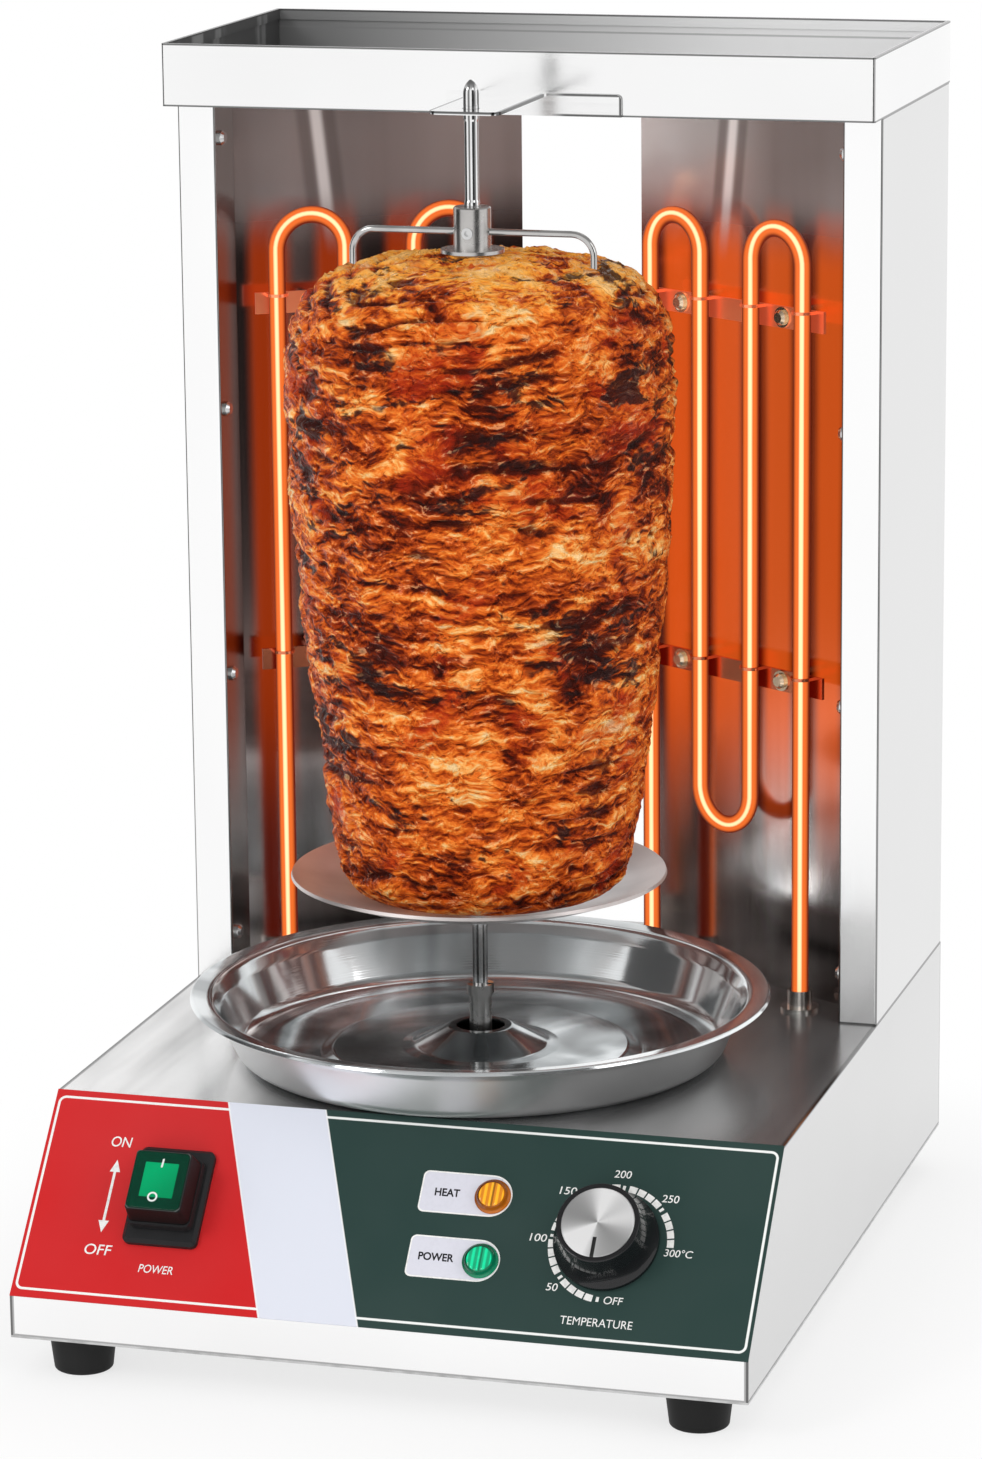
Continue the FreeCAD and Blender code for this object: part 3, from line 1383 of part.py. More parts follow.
def meat_stack():
    height, radius = measure("$meat_height"), measure("$meat_radius")
    bore = measure("$rod_diameter / 2 + $guide_clearance")
    base = measure(MEAT_Z)
    crown = measure("$fork_flange / 2 + $crown_margin")
    curve = Part.BSplineCurve()
    rim = [Vector(share * radius, 0, base + level * height) for level, share in MEAT_OUTLINE]
    curve.interpolate(rim + [Vector(crown, 0, base + height)])
    corners = [Vector(crown, 0, base + height), Vector(bore, 0, base + height), Vector(bore, 0, base), rim[0]]
    edges = [curve.toShape()] + [Part.makeLine(a, b) for a, b in zip(corners, corners[1:])]
    solid = Part.Face(Part.Wire(edges)).revolve(Vector(0, 0, 0), Vector(0, 0, 1), 360)
    clearance = measure("$prong_diameter / 2 + $guide_clearance")
    tip = measure(f"{FORK_Z} + $prong_rise - $prong_length - $pocket_spare")
    for side in (-1, 1):
        spot = Vector(side * measure("$prong_span / 2"), 0, tip)
        solid = solid.cut(Part.makeCylinder(clearance, height, spot))
    item = doc.addObject("Part::Feature", "meat_stack")
    item.Label = "meat_stack"
    item.Shape = solid
    node(place(item, "0", SKEWER_Y))


def drip_tray():
    # Upper face of the pressing, from the hole outwards.
    base = "($deck_height + $tray_gauge)"
    step = f"({base} + $tray_step)"
    crest = "($deck_height + $tray_cone_height)"
    rim = "($deck_height + $tray_height)"
    shoulder = "($tray_radius - $tray_rim)"
    tray = pressed("drip_tray", [
        ("$tray_hole / 2", crest), ("$tray_hole / 2 + $tray_neck", crest),
        ("$tray_cone_radius - $tray_cone_edge", f"{step} + $tray_cone_lift"),
        ("$tray_cone_radius", step, "tangent"),
        ("$tray_step_radius - $tray_step_slope", step), ("$tray_step_radius", base),
        ("$tray_floor_radius", base),
        ("$tray_floor_radius + $tray_fold_run", f"{base} + $tray_fold_rise", "tangent"),
        (f"{shoulder} - $tray_shoulder_run", f"{rim} - $tray_wall_drop"),
        (shoulder, f"{rim} - $tray_rim_fall", "-$tray_shoulder"),
        ("$tray_radius - $tray_bead", rim),
        ("$tray_radius - $tray_gauge", f"{rim} - $tray_bead", "tangent"),
    ], "-$tray_gauge")
    node(place(tray, "0", SKEWER_Y))


# ---- Assembly

base_wrap()
both_sides("base_side", base_side)
bottom_plate()
feet()
control_overlay()
switch_frame()
switch_body()
switch_cap()
power_rocker()
lamp("heat_lamp", "$heat_lamp_drop")
lamp("power_lamp", "$power_lamp_drop")
temperature_control()
mains()
both_sides("side_cover", side_cover)
both_sides("reflector", reflector)
as_one("reflector_screws", reflector_screws)
both_sides("rear_cover", rear_cover)
as_one("rear_cover_screws", rear_cover_screws)
top_hood()
skewer_bracket()
both_sides("heating_element", heating_element)
as_one("element_ferrules", element_ferrules)
both_sides("clip_strip_upper", clip_strip, level="$clip_upper")
both_sides("clip_strip_lower", clip_strip, level="$clip_lower")
as_one("clip_screws", clip_screws)
as_one("clip_spacers", clip_spacers)
motor()
drive()
skewer()
fork()
meat_stack()
drip_tray()
doc.recompute()

for item in doc.Objects:
    if any(state in ("Invalid", "Error") for state in item.State):
        raise RuntimeError(f"{item.Label} failed: {item.State}")
for item in nodes:
    if item.Shape.isNull() or not item.Shape.isValid():
        raise RuntimeError(f"{item.Label} has no valid shape")

os.makedirs("parts", exist_ok=True)
for item in nodes:
    item.Shape.exportStep(f"parts/{item.Label}.step")
print(f"{len(nodes)} nodes")
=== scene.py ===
import math

import bmesh
import bpy
import numpy as np
from mathutils import Matrix, Vector


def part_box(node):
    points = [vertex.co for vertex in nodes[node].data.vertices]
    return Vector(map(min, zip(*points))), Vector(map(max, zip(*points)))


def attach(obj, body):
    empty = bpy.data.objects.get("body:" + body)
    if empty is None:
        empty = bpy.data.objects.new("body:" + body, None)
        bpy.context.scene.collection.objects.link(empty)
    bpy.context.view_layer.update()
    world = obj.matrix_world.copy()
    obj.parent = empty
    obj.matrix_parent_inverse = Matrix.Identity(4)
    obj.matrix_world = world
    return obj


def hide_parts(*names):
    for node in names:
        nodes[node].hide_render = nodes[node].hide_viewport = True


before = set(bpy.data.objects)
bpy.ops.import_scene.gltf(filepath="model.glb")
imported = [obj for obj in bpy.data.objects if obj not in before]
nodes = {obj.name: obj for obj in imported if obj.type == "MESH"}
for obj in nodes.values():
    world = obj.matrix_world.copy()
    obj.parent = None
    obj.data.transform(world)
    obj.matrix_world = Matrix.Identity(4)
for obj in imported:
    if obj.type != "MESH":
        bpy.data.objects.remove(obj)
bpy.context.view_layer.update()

mm = 0.001
skewerY = -31 * mm  # the skewer, the plate and the tray share this upright axis
slope = math.atan2(74, 66)  # the control panel drops 74 mm over a depth of 66 mm
slopeDown = (0, -math.cos(slope), -math.sin(slope))
slopeOut = (0, -math.sin(slope), math.cos(slope))
panelTop = Vector((0, -134 * mm, 111 * mm))
facetAngle = math.radians(31.6)  # each reflector and its heater are turned by this
facetLip = (-148, 77.5)  # the left reflector's front lip, across and back in mm; the right one mirrors it


class Wire:  # one shader socket: + - * / ** on it, on either side, add Math nodes
    def __init__(self, tree, socket=None):
        self.tree = tree
        self.socket = socket

    def node(self, kind, settings=None, sockets=None, out=0):  # any other node
        made = self.tree.nodes.new(kind)
        for key, value in (settings or {}).items():
            if key == "stops":
                stops = made.color_ramp.elements
                stops[0].position, stops[0].color = value[0][0], (*value[0][1], 1)
                stops[1].position, stops[1].color = value[-1][0], (*value[-1][1], 1)
                for place, colour in value[1:-1]:
                    stops.new(place).color = (*colour, 1)
            else:
                setattr(made, key, value)
        for key, value in (sockets or {}).items():
            socket = made.inputs[key]
            if isinstance(value, Wire):
                self.tree.links.new(value.socket, socket)
            elif socket.type == "RGBA" and len(value) == 3:
                socket.default_value = (*value, 1)
            else:
                socket.default_value = value
        return Wire(self.tree, made.outputs[out] if len(made.outputs) else None)

    def sum(self, operation, *values):
        return self.node("ShaderNodeMath", {"operation": operation}, dict(enumerate(values)))

    def __add__(self, other):
        return self.sum("ADD", self, other)

    def __radd__(self, other):
        return self.sum("ADD", other, self)

    def __sub__(self, other):
        return self.sum("SUBTRACT", self, other)

    def __rsub__(self, other):
        return self.sum("SUBTRACT", other, self)

    def __mul__(self, other):
        return self.sum("MULTIPLY", self, other)

    def __rmul__(self, other):
        return self.sum("MULTIPLY", other, self)

    def __truediv__(self, other):
        return self.sum("DIVIDE", self, other)

    def __rtruediv__(self, other):
        return self.sum("DIVIDE", other, self)

    def __pow__(self, other):
        return self.sum("POWER", self, other)

    def __rpow__(self, other):
        return self.sum("POWER", other, self)

    def __neg__(self):
        return self.sum("MULTIPLY", self, -1.0)

    def __abs__(self):
        return self.sum("ABSOLUTE", self)


def newFinish(name):
    material = bpy.data.materials.new(name)
    material.use_nodes = True
    material.node_tree.nodes.clear()
    return material, Wire(material.node_tree)


def endFinish(wire, **sockets):  # the surface shader; fixed numbers are set on its own sockets
    named = {key.replace("_", " "): value for key, value in sockets.items()}
    shader = wire.node("ShaderNodeBsdfPrincipled", None, named)
    wire.node("ShaderNodeOutputMaterial", None, {"Surface": shader})


def placeOn(wire):
    return wire.node("ShaderNodeTexCoord", None, None, "Object")


def facing(wire):
    return wire.node("ShaderNodeTexCoord", None, None, "Normal")


def split(vector):
    made = vector.tree.nodes.new("ShaderNodeSeparateXYZ")
    vector.tree.links.new(vector.socket, made.inputs[0])
    return [Wire(vector.tree, out) for out in made.outputs]


def join(x, y, z):
    wire = next(value for value in (x, y, z) if isinstance(value, Wire))
    return wire.node("ShaderNodeCombineXYZ", None, {0: x, 1: y, 2: z})


def stretch(vector, amount):
    return vector.node("ShaderNodeVectorMath", {"operation": "MULTIPLY"}, {0: vector, 1: amount})


def along(vector, direction, start=0.0):  # how far a place is along a direction
    dot = {"operation": "DOT_PRODUCT"}
    return vector.node("ShaderNodeVectorMath", dot, {0: vector, 1: direction}, "Value") - start


def cloud(vector, scale, detail=3.0, rough=0.5, twist=0.0):
    return vector.node("ShaderNodeTexNoise", None, {
        "Vector": vector, "Scale": scale, "Detail": detail, "Roughness": rough, "Distortion": twist})


def cells(vector, scale):
    return vector.node("ShaderNodeTexVoronoi", None, {"Vector": vector, "Scale": scale})


def rise(value, start, end):  # 0 before start, 1 after end, smooth between
    return value.node("ShaderNodeMapRange", {"interpolation_type": "SMOOTHSTEP"}, {
        "Value": value, "From Min": start, "From Max": end})


def most(a, b):
    return a.sum("MAXIMUM", a, b)


def least(a, b):
    return a.sum("MINIMUM", a, b)


def blendColour(a, b, share, way="MIX"):
    wire = next(value for value in (share, a, b) if isinstance(value, Wire))
    return wire.node("ShaderNodeMix", {"data_type": "RGBA", "blend_type": way, "clamp_factor": True},
                     {0: share, 6: a, 7: b}, 2)


def colourRun(value, stops):
    return value.node("ShaderNodeValToRGB", {"stops": stops}, {0: value})


def relief(height, depth, strength=1.0):
    return height.node("ShaderNodeBump", None, {"Strength": strength, "Distance": depth, "Height": height})


def grey(level, warm=0.0):
    return (level * (1 + warm), level, level * (1 - warm))


def reach(x, y):  # the distance from the middle, from two distances square to each other
    return (x * x + y * y) ** 0.5


def roundedBox(x, y, halfX, halfY, corner):  # signed distance from a rounded rectangle's edge
    overX, overY = abs(x) - (halfX - corner), abs(y) - (halfY - corner)
    return reach(most(overX, 0.0), most(overY, 0.0)) + least(most(overX, overY), 0.0) - corner


def addPiece(name, mesh, body, material, stands=()):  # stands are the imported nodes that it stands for
    mesh.materials.append(material)
    piece = bpy.data.objects.new(name, mesh)
    bpy.context.scene.collection.objects.link(piece)
    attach(piece, body)
    if stands:
        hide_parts(*stands)
    return piece


# Rows and columns of points become four-sided faces between neighbours. Each row joins its
# last point to its first, and with closedAlong so does each column. Points that meet are merged.
def meshGrid(name, points, closedAlong=False, crease=50, outward=True):
    rows, columns = points.shape[:2]
    index = np.arange(rows * columns).reshape(rows, columns)
    if closedAlong:
        index = np.vstack([index, index[:1]])
    index = np.hstack([index, index[:, :1]])
    faces = np.stack([index[:-1, :-1], index[:-1, 1:], index[1:, 1:], index[1:, :-1]], -1).reshape(-1, 4)
    mesh = bpy.data.meshes.new(name)
    mesh.from_pydata(points.reshape(-1, 3).tolist(), [], faces.tolist())
    if outward:
        work = bmesh.new()
        work.from_mesh(mesh)
        bmesh.ops.remove_doubles(work, verts=work.verts, dist=1e-7)
        bmesh.ops.recalc_face_normals(work, faces=work.faces)
        work.to_mesh(mesh)
        work.free()
    mesh.shade_smooth()
    if crease:
        mesh.set_sharp_from_angle(angle=math.radians(crease))
    return mesh


# A corner line becomes a smooth one: each corner with a radius gives way to an arc that
# touches both its runs, and the others stay as they are.
def roundCorners(corners, steps=10):
    line = [np.array(corners[0][:2], float)]
    for before, here, after in zip(corners, corners[1:], corners[2:]):
        point, radius = np.array(here[:2], float), here[2] if len(here) > 2 else 0
        if not radius:
            line.append(point)
            continue
        back, ahead = np.array(before[:2]) - point, np.array(after[:2]) - point
        back, ahead = back / np.linalg.norm(back), ahead / np.linalg.norm(ahead)
        half = math.acos(np.clip(back @ ahead, -1, 1)) / 2
        middle = (back + ahead) / np.linalg.norm(back + ahead)
        centre = point + middle * radius / math.sin(half)
        sweep = np.linspace(-1, 1, steps) * (math.pi / 2 - half)
        side = (ahead - back) / np.linalg.norm(ahead - back)
        line.extend(centre + radius * (-np.cos(a) * middle + np.sin(a) * side) for a in sweep)
    line.append(np.array(corners[-1][:2], float))
    return np.array(line)


# A thin wall from one line: the line itself, then the same line moved sideways by the
# gauge, taken backwards, which makes a closed loop.
def walled(line, gauge):
    run = np.gradient(line, axis=0)
    run /= np.linalg.norm(run, axis=1)[:, None]
    return np.vstack([line, (line + gauge * np.stack([run[:, 1], -run[:, 0]], 1))[::-1]])


# A turned surface: each point of the profile, a radius and a height, goes round the
# upright skewer axis on a circle.
def turned(profile, steps):
    angle = np.arange(steps) / steps * 2 * math.pi
    radius, height = profile[:, :1] * mm, profile[:, 1:2] * mm
    return np.stack([radius * np.cos(angle), skewerY + radius * np.sin(angle),
                     np.broadcast_to(height, (len(profile), steps))], -1)


# A round bar along a line that stays in one plane: at each point a circle is set out from
# the plane's normal and the direction across the line. Both ends close to a point.
def barAlong(line, planeNormal, radius, steps=20):
    run = np.gradient(line, axis=0)
    run /= np.linalg.norm(run, axis=1)[:, None]
    across = np.cross(planeNormal, run)
    size = np.full(len(line), radius)
    line, across = np.vstack([line[:1], line, line[-1:]]), np.vstack([across[:1], across, across[-1:]])
    size = np.concatenate([[0], size, [0]])[:, None, None]
    angle = np.arange(steps)[None, :, None] / steps * 2 * math.pi
    ring = np.cos(angle) * across[:, None, :] + np.sin(angle) * np.array(planeNormal)
    return line[:, None, :] + size * ring


# Smooth random heights on a lattice that repeats round the stack: each place takes the
# four heights round it, weighed by a smooth step.
def swell(around, up, columns, rows, seed):
    table = np.random.default_rng(seed).random((rows + 2, columns))
    x, y = (around % 1) * columns, np.clip(up, 0, 1) * rows
    column, row = x.astype(int) % columns, y.astype(int)
    fx, fy = x - np.floor(x), y - np.floor(y)
    fx, fy = fx * fx * (3 - 2 * fx), fy * fy * (3 - 2 * fy)
    low = table[row, column] * (1 - fx) + table[row, (column + 1) % columns] * fx
    high = table[row + 1, column] * (1 - fx) + table[row + 1, (column + 1) % columns] * fx
    return low * (1 - fy) + high * fy


# The control panel's own directions carry its points: across, down the slope and out of
# its face, in mm from the middle of its top edge.
def onPanel(points):
    directions = np.array(((1, 0, 0), slopeDown, slopeOut))
    return np.asarray(points, float) * mm @ directions + np.array(panelTop)


def panelDown(vector):  # the way down the slope in mm, as a shader value
    start = panelTop.y * slopeDown[1] + panelTop.z * slopeDown[2]
    return along(vector, slopeDown, start) * 1000


# The edge tone and share set the painted shade along the sheets' folds and edges.
steelSet = {"grainFine": 900.0, "grainLong": 5.0, "grainDepth": 0.00003, "clouds": 7.0,
            "edgeWidth": 0.0010, "edgeShadeTone": 0.06, "edgeShadeShare": 0.85}


def grainOf(place, axis):  # fine lines that run along one axis
    amount = [steelSet["grainFine"]] * 3
    amount["xyz".index(axis)] = steelSet["grainLong"]
    return cloud(stretch(place, tuple(amount)), 1.0, 3.0, 0.6)


def steelGrain(fine, strength=0.3):
    return relief(fine, steelSet["grainDepth"], strength)


# The lines where a folded sheet ends or turns: on each face they lie near the box's
# limits, across the two axes that the face doesn't look along. They get painted shade, a dark
# line in place of the darker reflection in each bend.
def foldLines(wire, place, name, width=steelSet["edgeWidth"]):
    low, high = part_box(name)
    mask = None
    for value, look, lower, upper in zip(split(place), split(facing(wire)), low, high):
        edge = least(abs(value - lower), abs(value - upper))
        line = rise(edge, width, width * 0.55) * (1 - rise(abs(look), 0.5, 0.9))
        mask = line if mask is None else most(mask, line)
    return mask


# Painted shade along the fold lines, in place of the bends' darker reflection.
def foldShade(shade, wire, place, node, share=steelSet["edgeShadeShare"]):
    return blendColour(shade, grey(steelSet["edgeShadeTone"]), foldLines(wire, place, node) * share)


def paleSteel(name, node, tone):  # brushed upright
    material, wire = newFinish(name)
    place = placeOn(wire)
    fine = grainOf(place, "z")
    soft = cloud(place, steelSet["clouds"], 2.0)
    shade = colourRun(soft * 0.7 + fine * 0.3, [(0.3, grey(tone * 0.96)), (0.7, grey(min(1.0, tone * 1.04)))])
    endFinish(wire, Base_Color=foldShade(shade, wire, place, node), Metallic=1.0,
              Roughness=0.2 + 0.08 * (fine - 0.5) + 0.06 * (soft - 0.5), Normal=steelGrain(fine, 0.35))
    return material


# The tones of each face run from the first to the second. A face more than the sheet's skin
# inside the box belongs to the open pan. The pan's tones are painted shade and painted
# reflection: its floor, back wall and side wall, the hem's dark line and the dark corners.
hoodSet = {"outside": 0.94, "floor": (0.16, 0.80), "backWallShade": (0.26, 0.92), "sideWallShade": (0.08, 0.30),
           "hemShadeTone": 0.3, "cornerShadeTone": 0.12, "skin": (0.0006, 0.0009), "halfInside": (0.1650, 0.1646),
           "hemDown": 0.0085}


def hoodSteel():  # pale outside; inside the open pan, painted shade and painted reflection in greys
    material, wire = newFinish("hood_steel")
    place = placeOn(wire)
    x, y, z = split(place)
    lookX, lookY, lookZ = split(facing(wire))
    low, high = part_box("top_hood")
    fine = grainOf(place, "x")
    soft = cloud(place, steelSet["clouds"], 2.0)
    outer, inner = hoodSet["skin"]
    inside = rise(abs(x), *hoodSet["halfInside"]) * rise(z, low.z + outer, low.z + inner)
    inside = inside * rise(y, low.y + outer, low.y + inner) * rise(y, high.y - outer, high.y - inner)
    # Painted reflection and shade: the pan's floor and back wall run from grey at the left to pale at the
    # right.
    across = rise(x * 0.8 + y * 0.5 + 0.03 * (soft - 0.5), -0.1, 0.16)
    deep = blendColour(*map(grey, hoodSet["floor"]), across)
    back = blendColour(*map(grey, hoodSet["backWallShade"]), rise(x + 0.04 * (soft - 0.5), -0.18, 0.1))
    # Painted shade: a dark line on the back wall along the hem's lower edge.
    hemShadeLine = rise(abs(z - (high.z - hoodSet["hemDown"])), 0.0006, 0.0003)
    back = blendColour(back, grey(hoodSet["hemShadeTone"]), hemShadeLine * 0.6)
    deep = blendColour(deep, back, rise(-lookY, 0.5, 0.9))
    # Painted reflection: darker and paler streaks on the pan's side wall.
    streak = rise(cloud(stretch(place, (1, 60, 6)), 1.0, 2.0), 0.5, 0.62)
    deep = blendColour(deep, blendColour(*map(grey, hoodSet["sideWallShade"]), streak), rise(lookX, 0.5, 0.9))
    # Painted shade: darker in the pan's inside corners, where the walls meet the floor and each other.
    corner = rise(z, low.z + 0.0024, low.z + 0.0014) * rise(lookZ, 0.8, 0.5)
    corner = most(corner, rise(abs(x), 0.1636, 0.1644) * rise(abs(lookX), 0.9, 0.5))
    corner = most(corner, rise(y, high.y - 0.0022, high.y - 0.0013) * rise(abs(lookY), 0.9, 0.5))
    deep = blendColour(deep, grey(hoodSet["cornerShadeTone"]), corner * 0.7)
    shade = colourRun(soft, [(0.3, grey(hoodSet["outside"] * 0.97)), (0.7, grey(hoodSet["outside"] * 1.02))])
    shade = foldShade(blendColour(shade, deep, inside), wire, place, "top_hood")
    endFinish(wire, Base_Color=shade, Metallic=1.0 - 0.6 * inside, Normal=steelGrain(fine),
              Roughness=0.17 + 0.08 * (fine - 0.5) + 0.15 * inside)
    return material


# The deck's left and right tones and its smear are painted reflection.
deckSet = {"left": 0.95, "right": 0.55, "band": 0.96, "smearReflection": 0.1, "streaks": 24.0,
           "height": (0.1095, 0.1105)}


def baseSteel():  # the glossy deck with painted reflection, pale at the left and darker at the right with dark smears, and the pale band under the control panel
    material, wire = newFinish("base_wrap_steel")
    place = placeOn(wire)
    x, z = split(place)[::2]
    fine = grainOf(place, "x")
    streak = cloud(stretch(place, (deckSet["streaks"], 3.0, 3.0)), 1.0, 3.0, 0.6)
    soft = cloud(place, steelSet["clouds"], 2.0)
    deck = rise(z, *deckSet["height"])
    # Painted reflection: pale at the left, darker towards the right, with dark smears along the grain.
    run = rise(x + 0.12 * (streak - 0.5), -0.14, -0.02)
    dark = blendColour(grey(deckSet["left"]), grey(deckSet["right"]), run)
    dark = blendColour(dark, grey(deckSet["smearReflection"]), rise(streak * 0.75 + soft * 0.25, 0.62, 0.36) * 0.6)
    pale = colourRun(soft, [(0.3, grey(deckSet["band"] * 0.96)), (0.7, grey(deckSet["band"] * 1.03))])
    shade = foldShade(blendColour(pale, dark, deck), wire, place, "base_wrap", 0.6)
    endFinish(wire, Base_Color=shade, Metallic=1.0 - 0.25 * deck, Normal=steelGrain(fine),
              Roughness=0.16 + 0.1 * (fine - 0.5) + 0.06 * deck)
    return material


bracketSet = {"cutWidth": 0.0013, "tongueEnd": 0.0300, "tongueHalf": 0.016, "cutShadeTone": 0.05}


def bracketSteel():  # a pale thin tab with painted shade: dark lines along the cut edges of its right-hand part and of its tongue, and along the tongue's sides
    material, wire = newFinish("bracket_steel")
    place = placeOn(wire)
    x, y = split(place)[:2]
    fine = grainOf(place, "x")
    soft = cloud(place, 40.0, 2.0)
    cut = foldLines(wire, place, "skewer_bracket", bracketSet["cutWidth"])
    tongue = rise(y, bracketSet["tongueEnd"], bracketSet["tongueEnd"] - 0.0008)
    half = bracketSet["tongueHalf"]
    sides = rise(abs(abs(x) - half), 0.0016, 0.0010) * tongue
    dark = most(cut * most(rise(x, half, half + 0.010), tongue), sides)
    shade = colourRun(soft * 0.6 + fine * 0.4, [(0.3, grey(0.86)), (0.7, grey(0.95))])
    endFinish(wire, Base_Color=blendColour(shade, grey(bracketSet["cutShadeTone"]), dark * 0.9), Metallic=1.0,
              Roughness=0.16 + 0.08 * (fine - 0.5), Normal=steelGrain(fine))
    return material


# The side and inside tones are painted shade on the faces that look sideways and inwards.
coverSet = {"front": 0.99, "side": 0.74, "inside": 0.36, "halfInside": (0.1646, 0.1642),
            "behind": (0.0525, 0.0535)}


def coverSteel(name, node):  # the posts: pale on the front, with painted shade: greyer on the faces that look sideways and grey on those that look inwards
    material, wire = newFinish(name)
    place = placeOn(wire)
    x, y = split(place)[:2]
    sideways = abs(split(facing(wire))[0])
    fine = grainOf(place, "z")
    soft = cloud(stretch(place, (1, 1, 0.35)), 9.0, 2.0)
    inner = rise(abs(x), *coverSet["halfInside"]) * rise(sideways, 0.5, 0.9) * rise(y, *coverSet["behind"])
    shade = blendColour(grey(coverSet["front"]), grey(coverSet["side"]), rise(sideways, 0.4, 0.8))
    shade = blendColour(shade, grey(coverSet["side"] * 0.9), rise(soft, 0.3, 0.75) * 0.25)
    shade = foldShade(blendColour(shade, grey(coverSet["inside"], 0.03), inner), wire, place, node)
    endFinish(wire, Base_Color=shade, Metallic=1.0, Roughness=0.18 + 0.08 * (fine - 0.5),
              Normal=steelGrain(fine))
    return material


# Small polished parts. On those near the heaters their glow is painted in: a warmer tone that
# holds back green and blue, and on the hottest a faint painted glow.
def polishedSteel(name, tone, rough, warm=0.0, green=1.0, heat=0.0):
    material, wire = newFinish(name)
    place = placeOn(wire)
    soft = cloud(place, 60.0, 3.0)
    fine = cloud(stretch(place, (40, 40, 1600)), 1.0, 2.0)
    darker, paler = grey(tone * 0.82, warm), grey(min(1, tone * 1.12), warm)
    shade = colourRun(soft * 0.9 + fine * 0.1, [(0.3, darker), (0.7, paler)])
    shade = blendColour(shade, (1, green, green), 1.0, "MULTIPLY")
    endFinish(wire, Base_Color=shade, Metallic=1.0, Roughness=rough + 0.1 * (soft - 0.5),
              Normal=relief(fine, 0.00001, 0.2), Emission_Color=(1, 0.2, 0.08), Emission_Strength=heat)
    return material


# The lines and the darker ends are painted reflection of darker surroundings.
rodSet = {"lines": 8, "dark": 0.80, "light": 0.92, "line": 0.09, "end": 0.3}


def brightRod(name):  # polished bar stock, with painted reflection: dark lines along it, set by the way each face looks, and darker ends
    material, wire = newFinish(name)
    place = placeOn(wire)
    lookX, lookY, lookZ = split(facing(wire))
    soft = cloud(place, 60.0, 3.0)
    turning = lookX.sum("ARCTAN2", lookX, -lookY)
    upright = rise(abs(lookZ), 0.7, 0.3)
    line = rise(turning.sum("COSINE", turning * rodSet["lines"]), 0.25, 0.7) * upright
    shade = colourRun(soft, [(0.3, grey(rodSet["dark"])), (0.7, grey(rodSet["light"]))])
    shade = blendColour(shade, grey(rodSet["line"]), line * 0.85)
    shade = blendColour(shade, grey(rodSet["end"]), 1 - upright)
    endFinish(wire, Base_Color=shade, Metallic=1.0, Roughness=0.1 + 0.06 * (soft - 0.5),
              Normal=relief(soft, 0.00001, 0.2))
    return material


def zincSheet(name, tone):  # spangled zinc coat
    material, wire = newFinish(name)
    place = placeOn(wire)
    flake = cells(place, 160.0)
    soft = cloud(place, 25.0, 3.0)
    shade = colourRun(flake * 0.8 + soft * 0.4, [(0.2, grey(tone * 0.8)), (0.8, grey(tone * 1.25))])
    endFinish(wire, Base_Color=shade, Metallic=0.9, Roughness=0.38 + 0.2 * (soft - 0.5),
              Normal=relief(flake, 0.00004, 0.3))
    return material


def plasticOf(name, colour, rough, coat=0.0, speck=900.0):  # moulded plastic or rubber with a fine grain
    material, wire = newFinish(name)
    place = placeOn(wire)
    grain = cloud(place, speck, 3.0)
    soft = cloud(place, 35.0, 3.0)
    lighter = tuple(min(1, channel * 1.35 + 0.006) for channel in colour)
    endFinish(wire, Base_Color=blendColour(colour, lighter, soft), Roughness=rough + 0.16 * (soft - 0.5),
              Normal=relief(grain, 0.00003, 0.5), Coat_Weight=coat, Coat_Roughness=0.06,
              Specular_IOR_Level=0.14)
    return material


def brassOf(name):
    material, wire = newFinish(name)
    soft = cloud(placeOn(wire), 80.0, 4.0)
    shade = colourRun(soft, [(0.3, (0.55, 0.36, 0.12)), (0.7, (0.8, 0.58, 0.26))])
    endFinish(wire, Base_Color=shade, Metallic=1.0, Roughness=0.25 + 0.15 * soft)
    return material


print("steel and plastic finishes")


# The crest direction and the hot colour make a painted highlight down the bar's face, and the edge colour is
# painted shade on its sides.
heaterSet = {"radius": 4.0, "legFirst": 16.4, "legStep": 32.9, "legFoot": 85.0, "topBend": 457.55,
             "lowBend": 207.05, "stand": 18.0, "bendRun": 4.0, "crest": (0.16, -0.95, 0.26),
             "hotHighlight": (1.35, 0.98, 0.52), "glow": (0.88, 0.16, 0.022), "edge": (0.10, 0.006, 0.002),
             "cold": ((0.10, 0.022, 0.010), (0.16, 0.04, 0.02)), "warmFrom": (0.085, 0.135)}


def glowingSheath():  # the bar glows; a painted highlight makes it brightest where it faces the stored direction, and painted shade dims its sides
    material, wire = newFinish("element_glow")
    place = placeOn(wire)
    crest = wire.node("ShaderNodeAttribute", {"attribute_name": "crest"}, None, "Vector")
    front = most(along(facing(wire), crest), 0.0)
    uneven = cloud(stretch(place, (30, 30, 9)), 1.0, 3.0)
    foot = rise(split(place)[2], *heaterSet["warmFrom"])
    side = blendColour(heaterSet["edge"], heaterSet["glow"], rise(front, 0.34, 0.88))
    core = rise(front + 0.03 * (uneven - 0.5), 0.945, 1.0) * (0.3 + 0.7 * foot)
    endFinish(wire, Base_Color=blendColour(*heaterSet["cold"], uneven), Specular_IOR_Level=0.1,
              Roughness=0.45 + 0.2 * (uneven - 0.5), Normal=relief(uneven, 0.0001, 0.4),
              Emission_Color=blendColour(side, heaterSet["hotHighlight"], core), Emission_Strength=1.0)
    return material


